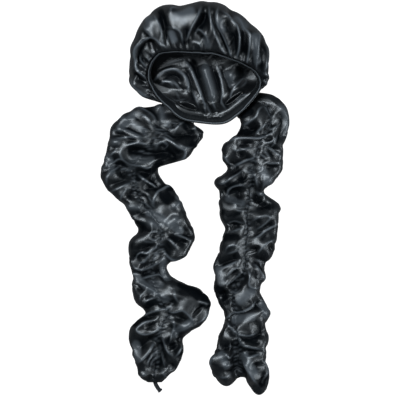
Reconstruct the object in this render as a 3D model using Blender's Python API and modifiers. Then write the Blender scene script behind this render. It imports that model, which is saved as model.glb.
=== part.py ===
# Satin bonnet: a gathered crown with an elastic band and two long ruched sleeves, lying flat.
import math

import bpy
import numpy as np

# Sizes in metres. +X is to the right seen from above, +Y is toward the crown, +Z is up.
RIM_CENTRE = (0.0180, 0.2050)
RIM_HALF_WIDTH = 0.1062
RIM_HALF_DEPTH = 0.0670
RIM_RISE = 0.086
SIDE_FULLNESS = 0.0228
BACK_FULLNESS = 0.0442
SHOULDER_RISE = 0.026
CROWN_SHIFT = (-0.0095, 0.0450)
POLE_SHIFT = (-0.0060, 0.0430)
BAND_WIDTH = 0.021
BAND_THICKNESS = 0.0018
FABRIC = 0.0015
GAP = 0.0004
GATHER_DEPTH = 0.0042
RIPPLE_HEIGHT = 0.0050
FOLD_DEPTH = 0.0100
SLEEVE_SPREAD = 0.342
SLEEVE_RUN = 0.722
SLEEVE_REACH = 0.084
SLEEVE_HEIGHT = 0.050
SLEEVE_RUFFLE = 0.13
RUFFLE_PITCH = 3.4
HEM_DROP = 0.029
HEM_SHORT_SIDE = 0.35
MOUTH_REACH = 0.021
MOUTH_HEIGHT = 0.021
MOUTH_SLIDE = 0.0035
CORD_THICKNESS = 0.0046

CROWN_COLUMNS = 80
CROWN_LEVELS = (0, 0.05, 0.11, 0.17, 0.24, 0.32, 0.40, 0.49, 0.58, 0.67, 0.77, 0.88)
RIM_GATHERS = 20
SLEEVE_RINGS = 35
SLEEVE_SIDES = 24
CORD_SIDES = 8

# A row per direction round the rim, from the right side over the back, the left and the front.
# rim x, rim y: share of the rim's half width and half depth
# out x, out y: share of the crown's half width and half depth
# rise: share of RIM_RISE; shoulder: share of the crown height; lean: how far the band slopes inward
AROUND = (
    (1.00, 0.01, 1.01, -0.34, 0.62, 0.54, 0.50),
    (0.96, 0.36, 0.99, -0.05, 0.72, 0.66, 0.40),
    (0.74, 0.63, 0.97, 0.30, 0.82, 0.80, 0.32),
    (0.47, 0.81, 0.79, 0.60, 0.92, 0.92, 0.26),
    (0.19, 0.96, 0.50, 0.87, 0.97, 1.00, 0.22),
    (-0.07, 0.99, 0.14, 1.02, 1.00, 1.00, 0.20),
    (-0.32, 1.00, -0.19, 0.96, 1.00, 0.98, 0.20),
    (-0.56, 1.00, -0.55, 0.93, 0.98, 0.95, 0.24),
    (-0.81, 0.93, -0.80, 0.68, 0.92, 0.88, 0.30),
    (-0.95, 0.67, -0.96, 0.30, 0.82, 0.80, 0.36),
    (-1.00, 0.36, -0.98, -0.03, 0.72, 0.68, 0.42),
    (-0.96, 0.06, -0.98, -0.32, 0.62, 0.56, 0.50),
    (-0.81, -0.31, -0.75, -0.55, 0.53, 0.42, 0.62),
    (-0.63, -0.57, -0.52, -0.70, 0.49, 0.36, 0.74),
    (-0.41, -0.86, -0.26, -0.92, 0.47, 0.33, 0.80),
    (-0.05, -0.98, 0.04, -0.97, 0.42, 0.30, 0.82),
    (0.35, -0.99, 0.37, -0.97, 0.44, 0.30, 0.82),
    (0.65, -0.68, 0.60, -0.79, 0.49, 0.36, 0.80),
    (0.85, -0.34, 0.79, -0.59, 0.54, 0.42, 0.68),
)

# The main valleys of the crown: a row per valley.
# turn: share of the way round; start, end: levels between rim and floor; depth: share of
# FOLD_DEPTH; half width: share of the way round
VALLEYS = (
    (0.052, 0.10, 0.62, 0.55, 0.012),
    (0.105, 0.04, 0.66, 0.75, 0.014),
    (0.172, 0.04, 0.60, 0.60, 0.014),
    (0.212, 0.06, 0.64, 0.70, 0.012),
    (0.268, 0.03, 0.70, 1.00, 0.015),
    (0.330, 0.08, 0.58, 0.60, 0.016),
    (0.395, 0.04, 0.66, 0.85, 0.015),
    (0.452, 0.06, 0.60, 0.70, 0.015),
    (0.505, 0.04, 0.64, 0.80, 0.014),
    (0.560, 0.06, 0.60, 0.70, 0.012),
)

# A row per section of a sleeve, from the mouth to the hem.
# across, along: share of SLEEVE_SPREAD and SLEEVE_RUN, counted from the sleeve's start row;
# reach: share of SLEEVE_REACH;
# turn: degrees about the vertical; lean: degrees the section tips back toward the mouth;
# height: share of SLEEVE_HEIGHT; belly: where the section is widest, as a share of its
# height; seam: where the ruched seam lies across the section;
# pinch: how deep the seam is drawn in; drop: how far the two sides hang past the seam
LEFT_SLEEVE = (
    (-0.089, 0.2140, 0.41, -30, 8, 0.37, 0.42, 0.10, 0.10, 0.0),
    (-0.134, 0.2010, 0.77, -18, 4, 0.60, 0.36, 0.25, 0.30, 0.0),
    (-0.196, 0.1740, 0.97, -11, 0, 0.80, 0.34, 0.12, 0.42, 0.0),
    (-0.235, 0.1360, 0.94, -5, 0, 0.86, 0.34, -0.02, 0.45, 0.0),
    (-0.265, 0.1080, 0.86, -2, 0, 0.82, 0.34, -0.10, 0.42, 0.0),
    (-0.344, 0.0790, 0.63, 0, 0, 0.74, 0.34, 0.05, 0.46, 0.0),
    (-0.330, 0.0440, 0.66, 0, 0, 0.80, 0.34, 0.02, 0.42, 0.0),
    (-0.273, 0.0130, 0.70, 0, 0, 0.84, 0.34, -0.20, 0.44, 0.0),
    (-0.219, -0.0180, 0.63, 0, 0, 0.76, 0.34, -0.32, 0.46, 0.0),
    (-0.187, -0.0490, 0.61, 0, 0, 0.78, 0.34, -0.22, 0.42, 0.0),
    (-0.157, -0.0790, 0.61, 0, 0, 0.86, 0.34, -0.18, 0.40, 0.0),
    (-0.176, -0.1100, 0.70, 0, 0, 0.90, 0.34, -0.05, 0.44, 0.0),
    (-0.201, -0.1400, 0.62, 0, 0, 0.84, 0.34, -0.02, 0.46, 0.0),
    (-0.246, -0.1700, 0.41, 0, 0, 0.66, 0.34, 0.15, 0.42, 0.0),
    (-0.220, -0.2040, 0.46, 0, 0, 0.70, 0.34, -0.05, 0.46, 0.0),
    (-0.154, -0.2330, 0.74, 0, 0, 0.84, 0.34, -0.30, 0.42, 0.0),
    (-0.116, -0.2640, 0.81, 0, 0, 0.90, 0.34, -0.30, 0.44, 0.0),
    (-0.098, -0.2930, 0.68, 0, 0, 0.82, 0.34, -0.25, 0.46, 0.0),
    (-0.152, -0.3250, 0.74, 0, 0, 0.84, 0.34, -0.12, 0.42, 0.0),
    (-0.203, -0.3560, 0.60, 0, 0, 0.78, 0.34, 0.04, 0.44, 0.0),
    (-0.200, -0.3920, 0.56, 0, 0, 0.70, 0.34, -0.04, 0.42, 0.0),
    (-0.203, -0.4330, 0.44, 0, 0, 0.58, 0.36, -0.08, 0.32, 0.0),
    (-0.218, -0.4590, 0.27, 0, 0, 0.40, 0.42, 0.00, 0.16, 0.0),
    (-0.214, -0.4720, 0.15, 0, 0, 0.27, 0.48, 0.00, 0.00, 0.0),
)
RIGHT_SLEEVE = (
    (0.279, 0.2410, 0.37, 44, 8, 0.37, 0.42, 0.10, 0.10, 0.0),
    (0.338, 0.2330, 0.48, 27, 4, 0.60, 0.36, 0.30, 0.30, 0.0),
    (0.373, 0.2030, 0.52, 14, 0, 0.76, 0.34, 0.28, 0.40, 0.0),
    (0.360, 0.1670, 0.56, 4, 0, 0.82, 0.34, 0.10, 0.44, 0.0),
    (0.316, 0.1360, 0.66, 0, 0, 0.88, 0.34, 0.16, 0.42, 0.0),
    (0.311, 0.1050, 0.66, 0, 0, 0.84, 0.34, 0.10, 0.46, 0.0),
    (0.322, 0.0740, 0.60, 0, 0, 0.78, 0.34, -0.10, 0.42, 0.0),
    (0.266, 0.0440, 0.64, 0, 0, 0.80, 0.34, 0.28, 0.44, 0.0),
    (0.252, 0.0150, 0.49, 0, 0, 0.66, 0.34, 0.35, 0.40, 0.0),
    (0.292, -0.0160, 0.66, 0, 0, 0.78, 0.34, 0.00, 0.44, 0.0),
    (0.295, -0.0490, 0.64, 0, 0, 0.86, 0.34, -0.10, 0.46, 0.0),
    (0.303, -0.0790, 0.58, 0, 0, 0.80, 0.34, -0.13, 0.42, 0.0),
    (0.289, -0.1100, 0.60, 0, 0, 0.84, 0.34, -0.07, 0.46, 0.0),
    (0.273, -0.1410, 0.60, 0, 0, 0.82, 0.34, 0.00, 0.42, 0.0),
    (0.241, -0.1720, 0.57, 0, 0, 0.78, 0.34, 0.22, 0.46, 0.0),
    (0.241, -0.2020, 0.55, 0, 0, 0.76, 0.34, 0.08, 0.42, 0.0),
    (0.227, -0.2360, 0.50, 0, 0, 0.70, 0.34, -0.15, 0.44, 0.0),
    (0.252, -0.2670, 0.51, 0, 0, 0.70, 0.34, -0.40, 0.38, 0.0),
    (0.281, -0.2950, 0.50, 0, 0, 0.74, 0.34, -0.50, 0.36, 0.0),
    (0.268, -0.3250, 0.46, 0, 0, 0.70, 0.34, -0.45, 0.38, 0.0),
    (0.262, -0.3560, 0.55, 0, 0, 0.76, 0.34, -0.24, 0.44, 0.0),
    (0.249, -0.3870, 0.56, 0, 0, 0.76, 0.34, -0.14, 0.42, 0.0),
    (0.235, -0.4180, 0.60, 0, 0, 0.70, 0.34, 0.00, 0.46, 0.2),
    (0.243, -0.4460, 0.62, 0, 0, 0.52, 0.36, -0.05, 0.42, 0.6),
    (0.246, -0.4600, 0.58, 0, 0, 0.26, 0.40, -0.07, 0.30, 1.0),
)
# Where each sleeve starts: share of the way round the rim, share of the way down the fabric,
# and the across and along shares that its table gives to that place.
LEFT_MOUTH = (0.737, 0.285, -0.0384, 0.2368)
RIGHT_MOUTH = (0.916, 0.285, 0.2126, 0.2543)

# A row per point of the cord's centre line: metres east, north and up from the sleeve's end.
CORD_LINE = (
    (0.0004, 0.0087, 0.0042),
    (0.0005, 0.0022, 0.0042),
    (0.0021, -0.0043, 0.0037),
    (0.0065, -0.0115, 0.0029),
    (0.0113, -0.0169, 0.0026),
)


def clear_scene():
    for item in list(bpy.context.scene.objects):
        bpy.data.objects.remove(item, do_unlink=True)


def material(name, colour, roughness, sheen):
    made = bpy.data.materials.new(name)
    made.use_nodes = True
    shader = made.node_tree.nodes["Principled BSDF"]
    shader.inputs["Base Color"].default_value = (*colour, 1.0)
    shader.inputs["Roughness"].default_value = roughness
    shader.inputs["Sheen Weight"].default_value = sheen
    return made


def collection(name, hidden=False):
    made = bpy.data.collections.new(name)
    made.hide_render = hidden
    bpy.context.scene.collection.children.link(made)
    return made


def mesh_object(name, points, faces, home, look=None):
    mesh = bpy.data.meshes.new(name)
    mesh.from_pydata([tuple(point) for point in points], [], faces)
    mesh.update()
    item = bpy.data.objects.new(name, mesh)
    home.objects.link(item)
    if look is not None:
        mesh.materials.append(look)
    return item


def smooth(value):
    value = min(1.0, max(0.0, value))
    return value * value * (3.0 - 2.0 * value)


def spline(rows, count, closed):
    # Passes a smooth curve through the rows and reads it at evenly spaced places.
    rows = np.array(rows, dtype=float)
    last = len(rows) if closed else len(rows) - 1
    out = []
    for step in range(count):
        place = last * step / (count if closed else count - 1)
        start = min(int(place), last - 1)
        part = place - start
        if closed:
            a, b, c, d = (rows[(start + k) % len(rows)] for k in (-1, 0, 1, 2))
        else:
            b, c = rows[start], rows[start + 1]
            a = rows[start - 1] if start > 0 else 2 * b - c
            d = rows[start + 2] if start + 2 < len(rows) else 2 * c - b
        cubic = -a + 3 * b - 3 * c + d
        square = 2 * a - 5 * b + 4 * c - d
        out.append(0.5 * (2 * b + (c - a) * part + square * part ** 2 + cubic * part ** 3))
    return np.array(out)


def along_line(line, shares):
    steps = np.linalg.norm(np.diff(line, axis=0), axis=1)
    run = np.concatenate([[0.0], np.cumsum(steps)]) / steps.sum()
    return np.stack([np.interp(shares, run, line[:, axis]) for axis in range(3)], axis=1)


def loft_faces(rings, sides):
    faces = []
    for ring in range(rings - 1):
        for side in range(sides):
            near, far = ring * sides, (ring + 1) * sides
            after = (side + 1) % sides
            faces.append((near + side, near + after, far + after, far + side))
    return faces


def stations():
    # Rim point, outline point, rim height, shoulder height and band slope for each column.
    found = []
    for rim_x, rim_y, out_x, out_y, rise, shoulder, lean in spline(AROUND, CROWN_COLUMNS, True):
        rim = np.array((
            RIM_CENTRE[0] + rim_x * RIM_HALF_WIDTH,
            RIM_CENTRE[1] + rim_y * RIM_HALF_DEPTH,
            rise * RIM_RISE,
        ))
        edge = np.array((
            RIM_CENTRE[0] + CROWN_SHIFT[0] + out_x * (RIM_HALF_WIDTH + SIDE_FULLNESS),
            RIM_CENTRE[1] + CROWN_SHIFT[1] + out_y * (RIM_HALF_DEPTH + BACK_FULLNESS),
            0.0,
        ))
        found.append((rim, edge, shoulder * (RIM_RISE + SHOULDER_RISE), lean))
    return found


def pole_point():
    return np.array((RIM_CENTRE[0] + POLE_SHIFT[0], RIM_CENTRE[1] + POLE_SHIFT[1], 0.0))


def inward_of(rim):
    middle = (pole_point() + np.array((*RIM_CENTRE, 0.0))) / 2
    inward = np.array((middle[0] - rim[0], middle[1] - rim[1], 0.0))
    return inward / np.linalg.norm(inward)


def crown_profile(rim, edge, shoulder, lean):
    # Side view of the fabric in one direction, from the rim round the outside to the pole.
    up = np.array((0.0, 0.0, 1.0))
    pole = pole_point()
    inward = inward_of(rim)
    drop = math.sqrt(1.0 - lean * lean)
    slope = inward * lean - up * drop
    low = rim + slope * BAND_WIDTH * 1.05
    floor_at = low + inward * low[2] * 0.95
    floor_at[2] = 0.0
    tucked = [
        rim,
        rim + slope * BAND_WIDTH * 0.35,
        rim + slope * BAND_WIDTH * 0.70,
        low,
        low * 0.52 + floor_at * 0.48,
        low * 0.12 + floor_at * 0.88,
        floor_at * 0.80 + pole * 0.20,
        floor_at * 0.45 + pole * 0.55,
        pole,
    ]
    flat_rim = np.array((rim[0], rim[1], 0.0))
    puffed = [
        rim,
        flat_rim * 0.80 + edge * 0.20 + up * (rim[2] * 0.40 + shoulder * 0.60),
        flat_rim * 0.50 + edge * 0.50 + up * shoulder,
        flat_rim * 0.16 + edge * 0.84 + up * shoulder * 0.82,
        edge + up * shoulder * 0.48,
        edge * 0.94 + pole * 0.06 + up * shoulder * 0.15,
        edge * 0.80 + pole * 0.20,
        edge * 0.45 + pole * 0.55,
        pole,
    ]
    puff = smooth((np.linalg.norm(edge - flat_rim) - 0.004) / 0.018)
    control = [a * (1.0 - puff) + b * puff for a, b in zip(tucked, puffed)]
    line = spline(control, 65, False)
    line[:, 2] = np.maximum(line[:, 2], 0.0)
    return along_line(line, CROWN_LEVELS), puff


def crown_points():
    grid = []
    puffs = []
    for rim, edge, shoulder, lean in stations():
        row, puff = crown_profile(rim, edge, shoulder, lean)
        grid.append(row)
        puffs.append(puff)
    grid = np.array(grid)
    round_way = np.roll(grid, -1, axis=0) - np.roll(grid, 1, axis=0)
    down_way = np.gradient(grid, axis=1)
    normal = np.cross(round_way, down_way)
    normal /= np.linalg.norm(normal, axis=2, keepdims=True) + 1e-12
    if np.sum(normal[:, 4] * (grid[:, 4] - grid.mean(axis=(0, 1)))) < 0:
        normal = -normal
    moved = grid.copy()
    for column in range(CROWN_COLUMNS):
        turn = column / CROWN_COLUMNS
        for level, share in enumerate(CROWN_LEVELS):
            on_floor = grid[column, level, 2] < 0.004
            fine = 0.5 - 0.5 * math.cos(2 * math.pi * RIM_GATHERS * turn)
            broad = 0.5 - 0.5 * math.cos(math.pi * RIM_GATHERS * turn)
            merge = smooth(share / 0.35)
            wave = fine * (1.0 - merge) + broad * merge
            swell = smooth(share / 0.10) * (1.0 - smooth((share - 0.45) / 0.20))
            push = GATHER_DEPTH * wave * swell * puffs[column]
            for at, start, end, depth, half in VALLEYS:
                near = math.exp(-((turn - at) / half) ** 2)
                inside = smooth((share - start) / 0.08) * smooth((end - share) / 0.12)
                push -= FOLD_DEPTH * depth * near * inside * puffs[column]
            if not on_floor:
                moved[column, level] += normal[column, level] * push
            rest = smooth((share - 0.50) / 0.12) * (1.0 - smooth((share - 0.74) / 0.10))
            moved[column, level, 2] += RIPPLE_HEIGHT * wave * rest
    moved[:, :, 2] = np.maximum(moved[:, :, 2], 0.0)
    return moved


def build_crown(grid, frames, home, cutters, look):
    levels = len(CROWN_LEVELS)
    points = [grid[column, level] for level in range(levels) for column in range(CROWN_COLUMNS)]
    faces = loft_faces(levels, CROWN_COLUMNS)
    tip = len(points)
    points.append(tuple(pole_point()))
    last = (levels - 1) * CROWN_COLUMNS
    for column in range(CROWN_COLUMNS):
        faces.append((last + column, last + (column + 1) % CROWN_COLUMNS, tip))
    crown = mesh_object("crown", points, faces, home, look)
    shell = crown.modifiers.new("fabric", "SOLIDIFY")
    shell.thickness = FABRIC
    shell.offset = -1.0
    for name, frame in zip(("left_mouth_cut", "right_mouth_cut"), frames):
        cutter = build_mouth_cutter(name, frame, cutters)
        cut = crown.modifiers.new(name, "BOOLEAN")
        cut.operation = "DIFFERENCE"
        cut.solver = "EXACT"
        cut.object = cutter
    return crown


def build_band(home, look):
    # A ring of elastic inside the rim; its section is a thin strip leaning like the fabric.
    points = []
    for corner in range(4):
        for rim, edge, shoulder, lean in stations():
            inward = inward_of(rim)
            drop = math.sqrt(1.0 - lean * lean)
            slope = np.array((inward[0] * lean, inward[1] * lean, -drop))
            inner = np.array((inward[0] * drop, inward[1] * drop, lean))
            base = rim + inner * (FABRIC + GAP) + slope * GAP
            depth = inner * BAND_THICKNESS if corner in (2, 3) else inner * 0.0
            reach = slope * BAND_WIDTH if corner in (1, 2) else slope * 0.0
            points.append(base + depth + reach)
    sides = CROWN_COLUMNS
    faces = []
    for corner in range(4):
        near, far = corner * sides, ((corner + 1) % 4) * sides
        for side in range(sides):
            after = (side + 1) % sides
            faces.append((near + side, near + after, far + after, far + side))
    return mesh_object("rim_band", points, faces, home, look)


def mouth_frame(grid, mouth):
    # Centre, sideways, slope and outward directions of the hole that a sleeve starts from.
    turn, depth = mouth[:2]
    column = int(round(turn * CROWN_COLUMNS))
    centre = along_levels(grid[column], depth)
    left, right = (along_levels(grid[column + step], depth) for step in (-3, 3))
    side = right - left
    side[2] = 0.0
    side /= np.linalg.norm(side)
    slope = along_levels(grid[column], depth - 0.07) - along_levels(grid[column], depth + 0.07)
    slope -= side * np.dot(slope, side)
    slope /= np.linalg.norm(slope)
    out = np.cross(slope, side)
    if out[2] > 0:
        out = -out
    return centre, side, slope, out


def along_levels(column, depth):
    return np.array([np.interp(depth, CROWN_LEVELS, column[:, axis]) for axis in range(3)])


def mouth_ring(frame, push, grow, sides):
    centre, side, slope, out = frame
    ring = []
    for step in range(sides):
        angle = 2 * math.pi * step / sides
        wide = (MOUTH_REACH + grow) * math.cos(angle)
        tall = (MOUTH_HEIGHT / 2 + grow) * math.sin(angle)
        ring.append(centre + side * wide + slope * tall + out * push)
    return ring


def build_mouth_cutter(name, frame, cutters):
    sides = SLEEVE_SIDES
    points = mouth_ring(frame, -0.007, GAP, sides) + mouth_ring(frame, 0.007, GAP, sides)
    faces = loft_faces(2, sides)
    faces.append(tuple(range(sides)))
    faces.append(tuple(reversed(range(sides, 2 * sides))))
    cutter = mesh_object(name, points, faces, cutters)
    cutter.display_type = "WIRE"
    return cutter


def sleeve_ring(row, ring_number, start, mouth):
    across, along, reach, turn, lean, height, belly, seam, pinch, drop = row
    side = np.array((math.cos(math.radians(turn)), math.sin(math.radians(turn)), 0.0))
    back = np.array((-side[1], side[0], 0.0))
    tip = math.radians(lean)
    rise = back * math.sin(tip) + np.array((0.0, 0.0, math.cos(tip)))
    east = start[0] + (across - mouth[2]) * SLEEVE_SPREAD
    north = start[1] + (along - mouth[3]) * SLEEVE_RUN
    centre = np.array((east, north, 0.0))
    ruffle = 1.0 + SLEEVE_RUFFLE * math.cos(2 * math.pi * ring_number / RUFFLE_PITCH)
    wide = SLEEVE_REACH * reach
    tall = SLEEVE_HEIGHT * height * ruffle
    ring = []
    for step in range(SLEEVE_SIDES):
        angle = 2 * math.pi * step / SLEEVE_SIDES
        over = math.copysign(abs(math.cos(angle)) ** 0.80, math.cos(angle))
        lift = math.copysign(abs(math.sin(angle)) ** 0.75, math.sin(angle))
        level = belly + (1.0 - belly) * lift if lift > 0 else belly * (1.0 + lift)
        if lift > 0:
            level *= 1.0 - pinch * math.exp(-((over - seam) / 0.26) ** 2) * lift
        place = abs(over - seam) / (1.0 - seam if over > seam else 1.0 + seam)
        lobe = max(0.0, 1.0 - ((place - 0.60) / 0.42) ** 2)
        hang = HEM_DROP * drop * lobe * (1.0 if over > seam else HEM_SHORT_SIDE)
        ring.append(centre + side * over * wide + rise * level * tall - back * hang)
    return ring


def build_sleeve(name, table, mouth, frame, home, look):
    rings = [
        mouth_ring(frame, -MOUTH_SLIDE, 0.0, SLEEVE_SIDES),
        mouth_ring(frame, MOUTH_SLIDE, 0.0, SLEEVE_SIDES),
    ]
    rows = spline(table, SLEEVE_RINGS - 2, False)
    for number, row in enumerate(rows):
        rings.append(sleeve_ring(row, number, frame[0], mouth))
    points = [point for ring in rings for point in ring]
    sleeve = mesh_object(name, points, loft_faces(len(rings), SLEEVE_SIDES), home, look)
    shell = sleeve.modifiers.new("fabric", "SOLIDIFY")
    shell.thickness = FABRIC
    shell.offset = -1.0
    return sleeve


def build_cord(frame, home, look):
    line = spline(CORD_LINE, 9, False)
    line[:, 0] += frame[0][0] + (LEFT_SLEEVE[-1][0] - LEFT_MOUTH[2]) * SLEEVE_SPREAD
    line[:, 1] += frame[0][1] + (LEFT_SLEEVE[-1][1] - LEFT_MOUTH[3]) * SLEEVE_RUN
    way = np.gradient(line, axis=0)
    points = []
    for place, ahead in zip(line, way):
        ahead = ahead / np.linalg.norm(ahead)
        side = np.cross(ahead, (0.0, 0.0, 1.0))
        side /= np.linalg.norm(side)
        rise = np.cross(side, ahead)
        for step in range(CORD_SIDES):
            angle = 2 * math.pi * step / CORD_SIDES
            turn = side * math.cos(angle) + rise * math.sin(angle)
            points.append(place + turn * CORD_THICKNESS / 2)
    faces = loft_faces(len(line), CORD_SIDES)
    last = (len(line) - 1) * CORD_SIDES
    faces.append(tuple(reversed(range(CORD_SIDES))))
    faces.append(tuple(range(last, last + CORD_SIDES)))
    return mesh_object("drawcord_end", points, faces, home, look)


def face_outward(item):
    # Turns every face of a closed or open loft so that its front looks away from the inside.
    bpy.ops.object.select_all(action="DESELECT")
    item.select_set(True)
    bpy.context.view_layer.objects.active = item
    bpy.ops.object.mode_set(mode="EDIT")
    bpy.ops.mesh.select_all(action="SELECT")
    bpy.ops.mesh.normals_make_consistent(inside=False)
    bpy.ops.object.mode_set(mode="OBJECT")


def centre_on_origin(made, cutters):
    # The origin is the middle of the bonnet's footprint, on the surface that it lies on.
    graph = bpy.context.evaluated_depsgraph_get()
    corners = []
    for item in made:
        shown = item.evaluated_get(graph)
        corners += [shown.matrix_world @ vertex.co for vertex in shown.data.vertices]
    middle = [(min(c[axis] for c in corners) + max(c[axis] for c in corners)) / 2 for axis in (0, 1)]
    for item in made + cutters:
        item.location = (-middle[0], -middle[1], 0.0)
    print("centred by", [round(-value, 5) for value in middle])


def main():
    clear_scene()
    home = collection("satin_bonnet")
    cutters = collection("cutters", hidden=True)
    satin = material("black_satin", (0.012, 0.014, 0.018), 0.34, 0.25)
    band_look = material("band_satin", (0.016, 0.018, 0.022), 0.52, 0.15)
    left_look = material("left_sleeve_satin", (0.012, 0.014, 0.018), 0.34, 0.25)
    right_look = material("right_sleeve_satin", (0.012, 0.014, 0.018), 0.34, 0.25)
    cord_look = material("cord_black", (0.010, 0.011, 0.013), 0.70, 0.20)
    grid = crown_points()
    frames = [mouth_frame(grid, mouth) for mouth in (LEFT_MOUTH, RIGHT_MOUTH)]
    for frame in frames:
        print("mouth", [round(float(value), 5) for value in frame[0]])
    made = [
        build_crown(grid, frames, home, cutters, satin),
        build_band(home, band_look),
        build_sleeve("left_sleeve", LEFT_SLEEVE, LEFT_MOUTH, frames[0], home, left_look),
        build_sleeve("right_sleeve", RIGHT_SLEEVE, RIGHT_MOUTH, frames[1], home, right_look),
        build_cord(frames[0], home, cord_look),
    ]
    for item in made + list(cutters.objects):
        face_outward(item)
    centre_on_origin(made, list(cutters.objects))


main()
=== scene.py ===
import math

import bpy
import numpy as np
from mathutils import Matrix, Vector
from mathutils.kdtree import KDTree


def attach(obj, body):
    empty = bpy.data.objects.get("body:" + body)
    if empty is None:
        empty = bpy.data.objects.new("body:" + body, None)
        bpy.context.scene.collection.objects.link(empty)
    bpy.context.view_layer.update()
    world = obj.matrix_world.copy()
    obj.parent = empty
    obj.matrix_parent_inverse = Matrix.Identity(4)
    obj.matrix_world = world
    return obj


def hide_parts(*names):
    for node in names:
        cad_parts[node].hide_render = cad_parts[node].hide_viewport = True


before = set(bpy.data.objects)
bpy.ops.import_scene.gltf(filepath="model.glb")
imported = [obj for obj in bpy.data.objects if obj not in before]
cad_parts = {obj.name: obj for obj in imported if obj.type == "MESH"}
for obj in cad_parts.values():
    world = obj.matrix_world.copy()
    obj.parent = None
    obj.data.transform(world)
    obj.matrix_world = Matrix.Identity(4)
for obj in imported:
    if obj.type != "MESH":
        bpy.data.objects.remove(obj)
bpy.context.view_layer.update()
print("frame loaded:", sorted(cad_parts))

# Everything lies as the frame lies: +Y toward the crown, +Z up, metres.
layout = {"shiftX": -0.0004, "shiftY": -0.0008, "clothWall": 0.0012, "floorLift": 0.0006}

# A plan square is 1.85 mm, and squares are counted from the upper left of the laid-out bonnet.
# A gain goes with each half width, so that narrow folds stay low.
foldValues = {
    "square": 0.00185, "middleX": 194.5, "middleY": 199.0, "soft": 0.0015,
    "halfSteps": (1.2, 2.0, 3.0, 5.0), "halfGains": (0.5, 0.75, 1.0, 1.2),
    "crestReach": (2.0, 1.7), "creaseReach": (1.0, 1.5), "creasePower": 1.4, "ridgeShare": 0.35,
    "taper": 9.0, "taperShare": 0.42, "endShare": 0.10,
    # the width and strength of the painted highlight and painted shade that the fold rows lay
    "thinHalf": 2.5, "thinLine": (0.50, 0.18), "thinFull": 7.0, "broadFull": 4.0, "broadHighlightPaint": 0.50,
    "shadeFull": 5.0, "patchHalf": 4.3, "patchEdge": (1.15, 0.75), "patchFull": 10.0, "patchShade": 1.6,
}

clothSettings = {"every": 3, "quality": 5, "mass": 0.12, "stretch": 15, "shear": 5, "damping": 8,
                 "bendDamping": 0.6, "airDamping": 3, "weightSteps": 40}


def ease(value):
    value = np.clip(value, 0.0, 1.0)
    return value * value * (3.0 - 2.0 * value)


def splineRows(rows, count, closed=False, at=None):
    # a smooth curve through the rows, read at even places or at the given ones
    rows = np.asarray(rows, dtype=float)
    last = len(rows) if closed else len(rows) - 1
    places = np.asarray(at, dtype=float) * last if at is not None else \
        np.arange(count) * last / (count if closed else count - 1)
    start = np.minimum(places.astype(int), last - 1)
    part = (places - start).reshape((-1,) + (1,) * (rows.ndim - 1))
    if closed:
        a, b, c, d = (rows[(start + k) % len(rows)] for k in (-1, 0, 1, 2))
    else:
        padded = np.concatenate([[2 * rows[0] - rows[1]], rows, [2 * rows[-1] - rows[-2]]])
        a, b, c, d = (padded[start + k] for k in (0, 1, 2, 3))
    cubic = -a + 3 * b - 3 * c + d
    square = 2 * a - 5 * b + 4 * c - d
    return 0.5 * (2 * b + (c - a) * part + square * part ** 2 + cubic * part ** 3)


def evenPlaces(line, shares):
    steps = np.linalg.norm(np.diff(line, axis=0), axis=1)
    run = np.concatenate([[0.0], np.cumsum(steps)]) / steps.sum()
    return np.stack([np.interp(shares, run, line[:, k]) for k in range(3)], axis=1)


def gridNormals(points):
    # points[along, around]; the second way is closed
    around = np.roll(points, -1, axis=1) - np.roll(points, 1, axis=1)
    along = np.gradient(points, axis=0)
    normal = np.cross(around, along)
    return normal / (np.linalg.norm(normal, axis=2, keepdims=True) + 1e-12)


def wobble(a, b, seed):
    # a smooth wandering value from about -1 to 1 over two ways across the cloth
    first = np.sin(a * 1.00 + seed * 1.7 + 1.3 * np.sin(b * 0.83 + seed))
    second = np.sin(b * 1.31 - seed * 2.3 + 1.1 * np.sin(a * 0.71 + seed * 0.6))
    third = np.sin(a * 2.17 + b * 1.73 + seed * 3.1)
    return (first + second + 0.6 * third) / 2.2


def puffWave(phase):
    # rounded lobes with a narrow valley between them
    return np.abs(np.sin(np.pi * phase)) ** 0.75


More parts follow.
